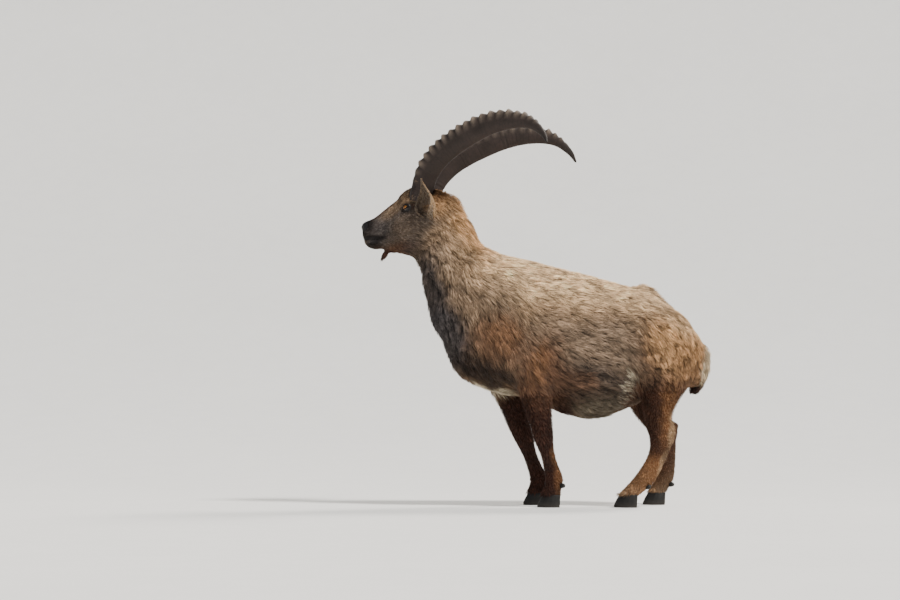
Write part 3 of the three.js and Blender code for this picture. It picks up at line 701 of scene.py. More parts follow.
@dataclass
class Shell:
    """A closed surface made even by voxels, with its normals.

    Attributes:
        vertices: Places in metres.
        faces: Rows of four vertex numbers.
        edges: Rows of two vertex numbers.
        tree: Finds the nearest face, once it is asked for.
    """

    vertices: np.ndarray
    faces: np.ndarray
    edges: np.ndarray
    tree: BVHTree | None = None

    @classmethod
    def from_nodes(cls, names: list[str], nodes: dict, voxel: float) -> "Shell":
        """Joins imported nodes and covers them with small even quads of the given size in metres.

        Args:
            names: Names of the nodes.
            nodes: The frame's nodes by name.
            voxel: Size of the quads, in metres.

        Returns:
            The even surface.
        """
        vertices, faces = node_mesh(names, nodes)
        rough = mesh_object("rough", vertices, faces)
        remesh = rough.modifiers.new("even", "REMESH")
        remesh.mode = "VOXEL"
        remesh.voxel_size = voxel
        bpy.context.view_layer.update()
        done = bpy.data.meshes.new_from_object(rough.evaluated_get(bpy.context.evaluated_depsgraph_get()))
        co = np.empty(len(done.vertices) * 3, np.float32)
        done.vertices.foreach_get("co", co)
        quads = np.empty(len(done.loops), np.int32)
        done.loops.foreach_get("vertex_index", quads)
        edges = np.empty(len(done.edges) * 2, np.int32)
        done.edges.foreach_get("vertices", edges)
        bpy.data.objects.remove(rough)
        bpy.data.meshes.remove(done)
        return cls(co.reshape(-1, 3).astype(float), quads.reshape(-1, 4), edges.reshape(-1, 2))

    def smooth(self, rounds: int, weight: np.ndarray | float = 1.0) -> None:
        """Evens out facets without shrinking the form.

        Args:
            rounds: How many times.
            weight: How much each vertex takes part, from 0 to 1.
        """
        count = len(self.vertices)
        a, b = self.edges.T
        degree = np.bincount(self.edges.ravel(), minlength=count)[:, None]
        scale = np.broadcast_to(np.asarray(weight, float).reshape(-1, 1), (count, 1))
        for _ in range(rounds):
            for amount in (0.55, -0.57):
                mean = np.stack([
                    np.bincount(a, self.vertices[b, k], count) + np.bincount(b, self.vertices[a, k], count)
                    for k in range(3)
                ], axis=1) / degree
                self.vertices = self.vertices + (mean - self.vertices) * amount * scale

    def under(self, places: np.ndarray) -> tuple[np.ndarray, np.ndarray]:
        """The nearest points of the surface to some places, with the outward normals there.

        Args:
            places: Places in packed metres.

        Returns:
            The nearest points, and the unit normals there.
        """
        if self.tree is None:
            self.tree = BVHTree.FromPolygons(self.vertices.tolist(), self.faces.tolist())
        corner_normals = self.normals()
        found = [self.tree.find_nearest(place) for place in places.tolist()]
        nearest = np.array([hit[0][:] for hit in found])
        corners = self.faces[np.array([hit[2] for hit in found])]
        gap = np.linalg.norm(self.vertices[corners] - nearest[:, None], axis=2)
        share = 1.0 / (gap + 1e-5)
        return nearest, unit((corner_normals[corners] * share[..., None]).sum(axis=1))

    def normals(self) -> np.ndarray:
        """Unit normals of the vertices.

        Returns:
            A normal for each vertex.
        """
        p = self.vertices[self.faces]
        face = np.cross(p[:, 2] - p[:, 0], p[:, 3] - p[:, 1])
        total = np.stack([
            sum(np.bincount(self.faces[:, j], face[:, k], len(self.vertices))
                for j in range(4)) for k in range(3)
        ], axis=1)
        return unit(total)


def paint(obj: bpy.types.Object, name: str, values: np.ndarray) -> None:
    """Stores a colour or a number for each vertex of a mesh.

    Args:
        obj: The mesh object.
        name: The layer's name.
        values: A row of three or one number for each vertex.
    """
    rgba = np.ones((len(values), 4), np.float32)
    rgba[:, :3] = values if values.ndim == 2 else values[:, None]
    layer = obj.data.color_attributes.new(name=name, type="FLOAT_COLOR", domain="POINT")
    layer.data.foreach_set("color", rgba.ravel())


# Materials


class Graph:
    """A small helper that adds nodes to a tree and links them."""

    def __init__(self, tree: bpy.types.NodeTree) -> None:
        """Keeps the tree that nodes are added to."""
        self.tree = tree

    def add(self, kind: str, inputs: dict | None = None, **settings: object) -> bpy.types.Node:
        """Adds a node.

        Args:
            kind: The node's type.
            inputs: Values or sockets for its inputs, by name or number.
            settings: Properties of the node.

        Returns:
            The node.
        """
        node = self.tree.nodes.new(kind)
        for key, value in settings.items():
            setattr(node, key, value)
        for key, value in (inputs or {}).items():
            if isinstance(value, bpy.types.NodeSocket):
                self.tree.links.new(value, node.inputs[key])
            else:
                node.inputs[key].default_value = value
        return node

    def maths(self, operation: str, a: object, b: object = 0.0) -> bpy.types.NodeSocket:
        """The result of a maths node."""
        return self.add("ShaderNodeMath", {0: a, 1: b}, operation=operation).outputs[0]

    def distance(self, a: object, b: object) -> bpy.types.NodeSocket:
        """The root of the sum of two squares."""
        total = self.maths("ADD", self.maths("MULTIPLY", a, a), self.maths("MULTIPLY", b, b))
        return self.maths("SQRT", total)

    def mix(self, factor: object, a: object, b: object, blend: str = "MIX") -> bpy.types.NodeSocket:
        """A mix of two colours.

        Args:
            factor: Share of the second.
            a: The first colour.
            b: The second colour.
            blend: How they are blended.

        Returns:
            The mixed colour.
        """
        inputs = {"Factor": factor}
        node = self.add("ShaderNodeMix", inputs, data_type="RGBA", blend_type=blend)
        for number, value in ((6, a), (7, b)):
            if isinstance(value, bpy.types.NodeSocket):
                self.tree.links.new(value, node.inputs[number])
            else:
                node.inputs[number].default_value = (*value[:3], 1.0)
        return node.outputs[2]

    def noise(self, vector: object, scale: object, detail: float) -> bpy.types.NodeSocket:
        """Noise from 0 to 1."""
        inputs = {"Vector": vector, "Scale": scale, "Detail": detail}
        return self.add("ShaderNodeTexNoise", inputs).outputs["Fac"]

    def spread(self, value: object, low: float, high: float, start: float = 0.0,
               end: float = 1.0) -> bpy.types.NodeSocket:
        """Maps low to high onto start to end, held at both ends."""
        inputs = {"Value": value, "From Min": low, "From Max": high, "To Min": start, "To Max": end}
        return self.add("ShaderNodeMapRange", inputs).outputs["Result"]


def variation_group() -> bpy.types.NodeTree:
    """A shared effect that breaks up a colour with coarse and fine noise.

    Returns:
        The group's tree.
    """
    tree = bpy.data.node_groups.new("Variation", "ShaderNodeTree")
    face = tree.interface
    face.new_socket(name="Colour", in_out="INPUT", socket_type="NodeSocketColor")
    for name in ("Coarse", "Fine", "Depth"):
        face.new_socket(name=name, in_out="INPUT", socket_type="NodeSocketFloat")
    face.new_socket(name="Colour", in_out="OUTPUT", socket_type="NodeSocketColor")
    face.new_socket(name="Height", in_out="OUTPUT", socket_type="NodeSocketFloat")
    graph = Graph(tree)
    inlet = graph.add("NodeGroupInput").outputs
    place = graph.add("ShaderNodeTexCoord").outputs["Object"]
    large = graph.noise(place, inlet["Coarse"], 3.0)
    small = graph.noise(place, inlet["Fine"], 4.0)
    total = graph.maths("ADD", large, small)
    swing = graph.maths("MULTIPLY", graph.maths("SUBTRACT", total, 1.0), inlet["Depth"])
    gain = graph.maths("ADD", graph.maths("MULTIPLY", swing, 2.0), 1.0)
    tone = graph.add("ShaderNodeCombineColor", {0: gain, 1: gain, 2: gain}).outputs[0]
    out = graph.add("NodeGroupOutput")
    tree.links.new(graph.mix(1.0, inlet["Colour"], tone, "MULTIPLY"), out.inputs["Colour"])
    tree.links.new(small, out.inputs["Height"])
    return tree


@dataclass(frozen=True)
class Finish:
    """How a surface takes light.

    Attributes:
        roughness: Main roughness.
        bump: Height of its grain, in metres.
        fine: Fineness of its grain.
        coarse: Fineness of its blotches.
        depth: Strength of its tone changes.
        sheen: Soft light at grazing angles.
    """

    roughness: float
    bump: float = 0.0003
    fine: float = 220.0
    coarse: float = 25.0
    depth: float = 0.35
    sheen: float = 0.0


class Paintbox:
    """Makes the materials."""

    def __init__(self) -> None:
        """Makes the effect that the materials share."""
        self.variation = variation_group()

    def start(self, name: str) -> tuple[bpy.types.Material, Graph, bpy.types.Node]:
        """A new material with its graph and its main shader.

        Args:
            name: The material's name.

        Returns:
            The material, its graph and its main shader.
        """
        material = bpy.data.materials.new(name)
        material.use_nodes = True
        graph = Graph(material.node_tree)
        return material, graph, material.node_tree.nodes["Principled BSDF"]

    def vary(self, graph: Graph, colour: object, finish: Finish) -> bpy.types.Node:
        """Adds the shared variation to a colour.

        Args:
            graph: The material's graph.
            colour: A colour, or the socket that gives it.
            finish: How the surface takes light.

        Returns:
            The group's node, with the outputs Colour and Height.
        """
        node = graph.add("ShaderNodeGroup", node_tree=self.variation)
        if isinstance(colour, bpy.types.NodeSocket):
            graph.tree.links.new(colour, node.inputs["Colour"])
        else:
            node.inputs["Colour"].default_value = (*colour, 1.0)
        node.inputs["Coarse"].default_value = finish.coarse
        node.inputs["Fine"].default_value = finish.fine
        node.inputs["Depth"].default_value = finish.depth
        return node

    def bump(self, graph: Graph, shader: bpy.types.Node, height: bpy.types.NodeSocket,
             distance: float) -> None:
        """Gives a shader a bump from a height."""
        node = graph.add("ShaderNodeBump", {"Height": height, "Distance": distance, "Strength": 0.8})
        graph.tree.links.new(node.outputs[0], shader.inputs["Normal"])

    def coat(self) -> bpy.types.Material:
        """Hair: the pelt's colour at each tuft, darker at its root as painted shade deep in the coat, partly
        over real darker hair bases.

        Returns:
            The material.
        """
        finish = Finish(roughness=0.8, fine=700.0, coarse=60.0, depth=0.3, sheen=0.03)
        material, graph, shader = self.start("coat_hair")
        pelt = graph.add("ShaderNodeVertexColor", layer_name="pelt").outputs["Color"]
        node = self.vary(graph, pelt, finish)
        graph.tree.links.new(node.outputs["Colour"], shader.inputs["Base Color"])
        shader.inputs["Roughness"].default_value = finish.roughness
        shader.inputs["Specular IOR Level"].default_value = 0.12
        shader.inputs["Sheen Weight"].default_value = finish.sheen
        shader.inputs["Sheen Roughness"].default_value = 0.5
        return material

    def skin(self) -> bpy.types.Material:
        """Skin under the coat, darkened as painted shade under the hair, and bare moist skin at the nose,
        lips and eyes.

        Returns:
            The material.
        """
        finish = Finish(roughness=0.85, bump=0.0006, fine=420.0, coarse=40.0, depth=0.45)
        material, graph, shader = self.start("skin")
        pelt = graph.add("ShaderNodeVertexColor", layer_name="pelt").outputs["Color"]
        bare = graph.add("ShaderNodeVertexColor", layer_name="bare").outputs["Color"]
        wet = graph.add("ShaderNodeSeparateColor", {0: bare}).outputs[0]
        # The skin under the hair is darkened as painted shade.
        shaded_under_hair = graph.mix(1.0, pelt, SHADE_UNDER_COAT, "MULTIPLY")
        colour = graph.mix(wet, shaded_under_hair, MOIST)
        node = self.vary(graph, colour, finish)
        graph.tree.links.new(node.outputs["Colour"], shader.inputs["Base Color"])
        graph.tree.links.new(graph.spread(wet, 0.0, 1.0, finish.roughness, 0.38), shader.inputs["Roughness"])
        graph.tree.links.new(graph.spread(wet, 0.0, 1.0, 0.1, 0.28), shader.inputs["Specular IOR Level"])
        self.bump(graph, shader, node.outputs["Height"], finish.bump)
        return material

    def horn(self) -> bpy.types.Material:
        """Horn: dark grey-brown, worn paler on the knobs, with fine rings round it.

        Returns:
            The material.
        """
        finish = Finish(roughness=0.62, bump=0.0006, fine=160.0, coarse=18.0, depth=0.5)
        material, graph, shader = self.start("horn_keratin")
        layers = graph.add("ShaderNodeVertexColor", layer_name="relief").outputs["Color"]
        parts = graph.add("ShaderNodeSeparateColor", {0: layers}).outputs
        knob, along, groove = parts[0], parts[1], parts[2]
        base = graph.mix(knob, HORN_DARK, HORN_WORN)
        base = graph.mix(graph.spread(along, 0.75, 1.0), base, HORN_TIP)
        base = graph.mix(graph.maths("MULTIPLY", groove, 0.45), base, HORN_GROOVE)
        node = self.vary(graph, base, finish)
        graph.tree.links.new(node.outputs["Colour"], shader.inputs["Base Color"])
        shader.inputs["Specular IOR Level"].default_value = 0.22
        rough = graph.spread(node.outputs["Height"], 0.3, 0.7, finish.roughness - 0.1,
                             finish.roughness + 0.12)
        graph.tree.links.new(rough, shader.inputs["Roughness"])
        self.bump(graph, shader, node.outputs["Height"], finish.bump)
        return material

    def hoof(self) -> bpy.types.Material:
        """Hoof: nearly black, scuffed and paler towards the sole, with fine level growth lines.

        Returns:
            The material.
        """
        finish = Finish(roughness=0.5, bump=0.0005, fine=260.0, coarse=45.0, depth=0.5)
        material, graph, shader = self.start("hoof_keratin")
        place = graph.add("ShaderNodeTexCoord").outputs["Object"]
        height = graph.add("ShaderNodeSeparateXYZ", {0: place}).outputs[2]
        scuff = graph.spread(height, 0.0, 0.02, 1.0, 0.0)
        base = graph.mix(graph.maths("MULTIPLY", scuff, 0.3), HOOF_DARK, HOOF_WORN)
        node = self.vary(graph, base, finish)
        graph.tree.links.new(node.outputs["Colour"], shader.inputs["Base Color"])
        shader.inputs["Specular IOR Level"].default_value = 0.25
        graph.tree.links.new(graph.spread(scuff, 0.0, 1.0, 0.5, 0.8), shader.inputs["Roughness"])
        lines = graph.add("ShaderNodeTexWave", {"Vector": place, "Scale": 90.0, "Distortion": 3.0},
                          bands_direction="Z").outputs["Fac"]
        total = graph.maths("ADD", lines, node.outputs["Height"])
        self.bump(graph, shader, total, finish.bump)
        return material

    def eye(self) -> bpy.types.Material:
        """Amber iris with a level slit pupil and a dark rim, under a wet surface.

        Returns:
            The material.
        """
        material, graph, shader = self.start("eye_amber")
        place = graph.add("ShaderNodeTexCoord").outputs["Object"]
        x, y, z = graph.add("ShaderNodeSeparateXYZ", {0: place}).outputs[:3]
        radius = graph.distance(x, y)
        fibre = graph.noise(place, 900.0, 2.0)
        iris = graph.mix(fibre, IRIS, IRIS_FIBRE)
        iris = graph.mix(graph.spread(radius, 0.0062, 0.0094), iris, IRIS_RIM)
        wide = graph.maths("MULTIPLY", x, 0.36)
        slit = graph.distance(wide, y)
        colour = graph.mix(graph.spread(slit, 0.0016, 0.0021), PUPIL, iris)
        graph.tree.links.new(colour, shader.inputs["Base Color"])
        shader.inputs["Roughness"].default_value = 0.22
        shader.inputs["Coat Weight"].default_value = 0.2
        shader.inputs["Coat Roughness"].default_value = 0.03
        shader.inputs["Specular IOR Level"].default_value = 0.25
        return material

    def floor(self) -> bpy.types.Material:
        """A pale, faintly mottled floor.

        Returns:
            The material.
        """
        material, graph, shader = self.start("floor_pale")
        node = self.vary(graph, FLOOR, Finish(0.9, fine=9.0, coarse=1.2, depth=0.03))
        graph.tree.links.new(node.outputs["Colour"], shader.inputs["Base Color"])
        shader.inputs["Roughness"].default_value = 0.9
        return material


def finish_piece(obj: bpy.types.Object, material: bpy.types.Material,
                 nodes: list[str]) -> bpy.types.Object:
    """Gives a piece its material, its body and the nodes it stands for.

    Args:
        obj: The piece.
        material: The material.
        nodes: Names of the nodes it stands for.

    Returns:
        The same piece.
    """
    obj.data.materials.clear()
    obj.data.materials.append(material)
    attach(obj, "root")
    if nodes:
        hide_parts(*nodes)
    log.info("piece %s: %d faces", obj.name, len(obj.data.polygons))
    return obj


# Sub-assemblies


@dataclass
class Skin:
    """The body's skin under the coat, finer on the head, as one piece.

    Attributes:
        body_voxel: Quad size of the body, in metres.
        head_voxel: Quad size of the head, in metres.
        neck_cut: How far behind the jaw the head's shell ends, in millimetres.
        nose: How far the nose pad stands forward, in millimetres.
        brow: How far the forehead is rounded up, in millimetres.
    """

    body_voxel: float = 0.0068
    head_voxel: float = 0.0034
    neck_cut: float = -95.0
    nose: float = 17.0
    brow: float = 9.0

    def build(self, frame: dict, anatomy: Anatomy, markings: Markings, paints: Paintbox) -> list[Shell]:
        """Builds the skin and returns its shells, for the coat to grow on.

        Args:
            anatomy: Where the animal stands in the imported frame.
            markings: The pelt's colours.
            paints: Where the materials come from.

        Returns:
            The shells of the body and the head.
        """
        body = Shell.from_nodes([n for n in FLESH if n != "head"], frame["nodes"], self.body_voxel)
        body.smooth(22)
        head = Shell.from_nodes(["head", "neck"], frame["nodes"], self.head_voxel)
        self.relief(head, anatomy)
        for shell, is_body in ((body, True), (head, False)):
            points = anatomy.read(shell.vertices)
            depth = coat_depth(points, anatomy) * (0.55 if is_body else 0.6)
            front = head_share(points - [60, 0, -50], anatomy) if is_body else 0.0
            shell.vertices = shell.vertices - shell.normals() * ((depth + front * 5.0) / MM)[:, None]
            shell.smooth(3)
        self.cut(head, anatomy)
        vertices = np.concatenate([body.vertices, head.vertices])
        faces = np.concatenate([body.faces, head.faces + len(body.vertices)])
        obj = mesh_object("skin", vertices, faces)
        points = anatomy.read(vertices)
        paint(obj, "pelt", markings.colour(points))
        paint(obj, "bare", markings.bareness(points))
        finish_piece(obj, paints.skin(), FLESH)
        return [body, head]

    def relief(self, head: Shell, anatomy: Anatomy) -> None:
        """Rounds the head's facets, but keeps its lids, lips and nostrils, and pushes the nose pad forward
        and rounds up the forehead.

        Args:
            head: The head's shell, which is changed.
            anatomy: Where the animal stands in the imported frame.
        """
        local = anatomy.off_head(anatomy.read(head.vertices))
        x, y, z = local.T
        eye_gap = np.linalg.norm(local - EYE_PLACE * np.sign(y + 1e-6)[:, None] ** [0, 1, 0], axis=1)
        keep = smoothstep(eye_gap, 20.0, 34.0)
        mouth = smoothstep(np.abs(z - 968), 5.0, 14.0) + (1 - smoothstep(-x, 525, 545))
        nostril_gap = np.linalg.norm(np.stack([x + 612, np.abs(y) - 17, z - 1014], 1), axis=1)
        nostril = smoothstep(nostril_gap, 12.0, 24.0)
        weight = np.clip(keep, 0.12, 1) * np.clip(mouth, 0.12, 1) * np.clip(nostril, 0.12, 1)
        head.smooth(26, weight)
        local = anatomy.off_head(anatomy.read(head.vertices))
        x, y, z = local.T
        pad = np.exp(-((z - 1017) / 17.0) ** 2 - (y / 30.0) ** 4)
        nose = smoothstep(-x, 556.0, 590.0) * pad * self.nose
        dome = np.exp(-((x + 458) / 55.0) ** 2 - (y / 40.0) ** 2)
        brow = dome * smoothstep(z + 0.7 * (x + 458), 1085.0, 1105.0)
        local = local + np.stack([-nose - 4 * brow, 0 * y, nose * 0.15 + self.brow * brow], axis=1)
        head.vertices = anatomy.place(anatomy.on_head(local))

    def cut(self, head: Shell, anatomy: Anatomy) -> None:
        """Draws the back of the head's shell together inside the neck.

        Args:
            head: The head's shell, which is changed.
            anatomy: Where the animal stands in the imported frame.
        """
        local = anatomy.off_head(anatomy.read(head.vertices))
        behind = ahead_of_neck(local) < self.neck_cut
        keep = ~behind[head.faces].all(axis=1)
        faces = head.faces[keep]
        used = np.unique(faces)
        number = np.full(len(head.vertices), -1)
        number[used] = np.arange(len(used))
        head.faces = number[faces]
        head.vertices = head.vertices[used]
        edges = np.sort(np.concatenate([head.faces[:, [0, 1]], head.faces[:, [1, 2]], head.faces[:, [2, 3]],
                                        head.faces[:, [3, 0]]]), axis=1)
        head.edges, count = np.unique(edges, axis=0, return_counts=True)
        rim = np.unique(head.edges[count == 1])
        inward = anatomy.place(np.array([[-250.0, 6.0, 900.0]]))[0]
        head.vertices[rim] = head.vertices[rim] + (inward - head.vertices[rim]) * 0.12


@dataclass(frozen=True)
class TuftStyle:
    """The size and habit of the tufts of one region.

    Attributes:
        count: How many tufts.
        length: Length in millimetres.
        width: Width in millimetres.
        rings: Cross-sections between root and tip.
        stray: How far the tips wander to the side.
        lock: How far apart the locks are that the tufts gather into.
        gather: How far the tips draw together, from 0 to 1.
    """

    count: int
    length: Pair
    width: Pair
    rings: int
    stray: float
    lock: float
    gather: float


class Region(Enum):
    """Parts of the coat."""

    TRUNK = "trunk"
    NECK = "neck"
    HEAD = "head"
    LEGS = "legs"
    TAIL = "tail"


STYLES = {
    Region.TRUNK: TuftStyle(66000, (30, 58), (2.8, 4.6), 2, 8.0, 19.0, 0.6),
    Region.NECK: TuftStyle(16500, (34, 70), (2.8, 4.8), 3, 11.0, 21.0, 0.7),
    Region.HEAD: TuftStyle(20000, (8, 14), (1.4, 2.2), 2, 2.0, 8.0, 0.4),
    Region.LEGS: TuftStyle(25000, (13, 24), (1.8, 3.0), 2, 2.5, 10.0, 0.35),
    Region.TAIL: TuftStyle(2600, (34, 62), (2.2, 3.6), 3, 7.0, 12.0, 0.5),
}


@dataclass
class Tufts:
    """The roots of some tufts and the way each one grows.

    Attributes:
        points: Roots, in the animal's millimetres.
        normals: Directions out of the skin.
        lie: Directions along the skin.
        length: Lengths in millimetres.
        width: Widths in millimetres.
        rise: How far each tip stands off the skin.
        pull: How far each tip is drawn aside.
        colour: Linear colours.
    """

    points: np.ndarray
    normals: np.ndarray
    lie: np.ndarray
    length: np.ndarray
    width: np.ndarray
    rise: np.ndarray
    pull: np.ndarray
    colour: np.ndarray


@dataclass
class Coat:
    """The fur: thin closed tufts that grow on the skin and lie along the body.

    Attributes:
        most: Largest number of triangles in one piece.
        seed: Start of the random draws.
        thin: Share of the tufts that is made.
    """

    most: int = 190000
    seed: int = 7
    thin: float = 1.0

    def build(self, shells: list[Shell], anatomy: Anatomy, markings: Markings,
              material: bpy.types.Material) -> None:
        """Grows the tufts of each region on the skin.

        Args:
            shells: The body's shell and the head's.
            anatomy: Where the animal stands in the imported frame.
            markings: The pelt's colours.
            material: The material.
        """
        rng = np.random.default_rng(self.seed)
        body, head = shells
        for region, style in STYLES.items():
            shell = head if region is Region.HEAD else body
            roots, normals = self.roots(shell, region, int(style.count * self.thin), anatomy, markings, rng)
            self.grow(region, style, shell, roots, normals, anatomy, markings, material, rng)

    def weight(self, region: Region, points: np.ndarray, anatomy: Anatomy, markings: Markings) -> np.ndarray:
        """How thickly a region's tufts grow at points.

        Args:
            region: Part of the coat.
            points: Places in the animal's frame, in millimetres.
            anatomy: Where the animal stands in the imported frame.
            markings: The pelt's colours.

        Returns:
            The weight at each point.
        """
        head = head_share(points, anatomy, 22.0)
        tail = tail_share(points)
        leg = leg_share(points)
        local = anatomy.off_head(points)
        if region is Region.HEAD:
            face = smoothstep(-local[:, 0], 480.0, 600.0)
            clear = np.maximum(smoothstep(horn_gap(local), 0.85, 1.1),
                               smoothstep(-local[:, 2], -1108.0, -1096.0))
            thick = (1 + 0.8 * face) * (1 + 9.0 * beard_share(local))
            return head * (1 - markings.bareness(points)) * thick * clear
        body = (1 - head) * (1 - tail)
        neck = smoothstep(points[:, 2] * 0.82 - points[:, 0] * 0.57 - 800.0, -60.0, 20.0)
        if region is Region.NECK:
            return body * neck
        if region is Region.LEGS:
            foot = 1 + 1.5 * smoothstep(-points[:, 2], -90.0, -60.0)
            return body * leg * smoothstep(points[:, 2], 40.0, 46.0) * foot
        if region is Region.TAIL:
            return tail
        return body * (1 - neck) * (1 - leg)

    def roots(self, shell: Shell, region: Region, count: int, anatomy: Anatomy, markings: Markings,
              rng: np.random.Generator) -> tuple[np.ndarray, np.ndarray]:
        """Draws even roots on a shell, with the normals there.

        Args:
            shell: The surface that the piece follows.
            region: Part of the coat.
            count: How many roots.
            anatomy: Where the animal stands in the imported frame.
            markings: The pelt's colours.
            rng: Source of the random draws.

        Returns:
            The roots in packed metres, and the normals there.
        """
        tri = np.concatenate([shell.faces[:, [0, 1, 2]], shell.faces[:, [0, 2, 3]]])
        order = np.argsort(np.concatenate([np.arange(len(shell.faces))] * 2), kind="stable")
        tri = tri[order]
        corner = shell.vertices[tri]
        area = np.linalg.norm(np.cross(corner[:, 1] - corner[:, 0], corner[:, 2] - corner[:, 0]), axis=1)
        middle = anatomy.read(corner.mean(axis=1))
        share = area * self.weight(region, middle, anatomy, markings)
        total = np.cumsum(share)
        pick = np.searchsorted(total, (np.arange(count) + rng.random(count)) / count * total[-1])
        pick = np.minimum(pick, len(tri) - 1)
        a, b = rng.random((2, count))
        flip = a + b > 1
        a[flip], b[flip] = 1 - a[flip], 1 - b[flip]
        bary = np.stack([1 - a - b, a, b], axis=1)[:, :, None]
        normal = shell.normals()
        return (corner[pick] * bary).sum(axis=1), unit((normal[tri[pick]] * bary).sum(axis=1))

    def grow(self, region: Region, style: TuftStyle, shell: Shell, roots: np.ndarray, normals: np.ndarray,
             anatomy: Anatomy, markings: Markings, material: bpy.types.Material,
             rng: np.random.Generator) -> None:
        """Makes the tufts of one region and splits them into pieces.

        Args:
            region: Part of the coat.
            style: Size and habit of the tufts.
            shell: The surface that the piece follows.
            roots: Where the tufts grow, in packed metres.
            normals: Directions out of the surface.
            anatomy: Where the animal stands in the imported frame.
            markings: The pelt's colours.
            material: The material.
            rng: Source of the random draws.
        """
        count = len(roots)
        points = anatomy.read(roots)
        centre, marks = nearest_centres(points, style.lock, 91)
        lie = lie_at(points, anatomy) + 0.22 * noise_vector(points, 55.0, 31)
        lie = lie + 0.12 * noise_vector(points, 17.0, 41)
        lie = lie + rng.normal(0, 0.09, (count, 3)) + 0.34 * (marks - 0.5)
        beard = beard_share(anatomy.off_head(points)) if region is Region.HEAD else np.zeros(count)
        hang = anatomy.head_direction(-0.42, 0.0, -0.9)
        lie = lie * (1 - beard)[:, None] + hang * beard[:, None]
        lie = unit(lie - normals * np.sum(lie * normals, axis=1, keepdims=True))
        length = rng.uniform(*style.length, count) * (1 + 0.3 * (marks[:, 0] - 0.5))
        if region is Region.HEAD:
            length = length * (1 + 2.3 * (1 - smoothstep(head_share(points, anatomy, 95.0), 0.5, 1.0)))
            length = length * (1 - beard) + rng.uniform(8, 20, count) * beard
        else:
            length = length * length_scale(points, anatomy)
        width = rng.uniform(*style.width, count)
        gather = (centre - points) * np.clip(length / (2.0 * style.lock), 0.15, 1.0)[:, None]
        gather = gather - normals * np.sum(gather * normals, axis=1, keepdims=True)
        edge = np.clip(np.linalg.norm(centre - points, axis=1) / (0.7 * style.lock), 0, 1)
        rise = coat_depth(points, anatomy) * rng.uniform(0.5, 1.0, count) ** 0.8 * (1.1 - 0.45 * edge)
        x, y, z = points.T
        croup = np.exp(-((x - 402) / 48.0) ** 2 - (y / 55.0) ** 2) * smoothstep(z, 690.0, 730.0)
        crown = np.exp(-((x + 290) / 50.0) ** 2 - ((z - 1110) / 45.0) ** 2)
        brush = tail_share(points)
        rise = rise * (1 + 1.3 * croup + 0.9 * crown + 1.6 * brush)
        curl = noise_vector(points, 11.0, 81) * (crown * 7.0)[:, None]
        stray = noise_vector(points, 21.0, 71) * style.stray + curl
        pull = gather * style.gather + stray - normals * np.sum(stray * normals, axis=1, keepdims=True)
        # Tufts towards a lock's edge are darkened as painted shade in the gaps between locks; the rest of
        # the tone is random variation.
        tone = 1.04 + rng.normal(0, 0.10, count) + 0.55 * (marks[:, 1] - 0.5) - 0.6 * (edge - 0.4)
        colour = markings.colour(points) * np.clip(tone, 0.4, 1.7)[:, None]
        tufts = Tufts(points, normals, lie, length, width, rise, pull, colour)
        self.assemble(region, style, shell, tufts, anatomy, material)

    def assemble(self, region: Region, style: TuftStyle, shell: Shell, tufts: Tufts, anatomy: Anatomy,
                 material: bpy.types.Material) -> list[bpy.types.Object]:
        """Turns root data into meshes of closed, bent, three-sided tufts that hug the shell.

        Args:
            region: Part of the coat.
            style: Size and habit of the tufts.
            shell: The surface that the piece follows.
            tufts: What grows, and where.
            anatomy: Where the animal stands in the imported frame.
            material: The material.

        Returns:
            The pieces.
        """
        # Each tuft is darkest at its root, as painted shade deep in the coat over partly real darker hair
        # bases, and palest at its tip.
        steps = [0.0, 0.36, 0.72] if style.rings > 2 else [0.0, 0.5]
        girth = [0.75, 1.0, 0.72] if style.rings > 2 else [0.8, 1.0]
        shade = [0.34, 0.82, 1.12] if style.rings > 2 else [0.42, 1.0]
        rows, tones = [], []
        for s, g, tone in zip(steps, girth, shade):
            centre, normal = self.along(shell, tufts, s, anatomy)
            half = (tufts.width * g * 0.5)[:, None]
            side = unit(np.cross(normal, tufts.lie))
            rows += [centre - side * half, centre + side * half, centre + normal * half * 0.5]
            tones += [tone] * 3
        rows.append(self.along(shell, tufts, 1.0, anatomy)[0])
        tones.append(1.12 + 0.007 * float(tufts.length.mean()))
        per = len(rows)
        vertices = np.stack(rows, axis=1)
        vertices[..., 2] = np.maximum(vertices[..., 2], 1.0)
        pattern = [(0, 2, 1)]
        for k in range(style.rings - 1):
            for j in range(3):
                a, b = 3 * k + j, 3 * k + (j + 1) % 3
                pattern += [(a, b, a + 3), (b, b + 3, a + 3)]
        top = 3 * (style.rings - 1)
        pattern += [(top + j, top + (j + 1) % 3, per - 1) for j in range(3)]
        pattern = np.array(pattern)
        order = np.argsort(tufts.points[:, 2 if region is Region.LEGS else 0])
        chunk = max(self.most // len(pattern), 1)
        made = []
        for number, start in enumerate(range(0, len(order), chunk)):
            pick = order[start:start + chunk]
            faces = (pattern[None] + (np.arange(len(pick)) * per)[:, None, None]).reshape(-1, 3)
            obj = mesh_object(f"coat_{region.value}_{number + 1}",
                              anatomy.place(vertices[pick].reshape(-1, 3)), faces)
            tint = np.clip(tufts.colour[pick][:, None, :] * np.array(tones)[None, :, None], 0.003, 1.0)
            paint(obj, "pelt", tint.reshape(-1, 3))
            self.unwrap(obj, region, tufts.points[pick], per, faces)
            made.append(finish_piece(obj, material, []))
        return made

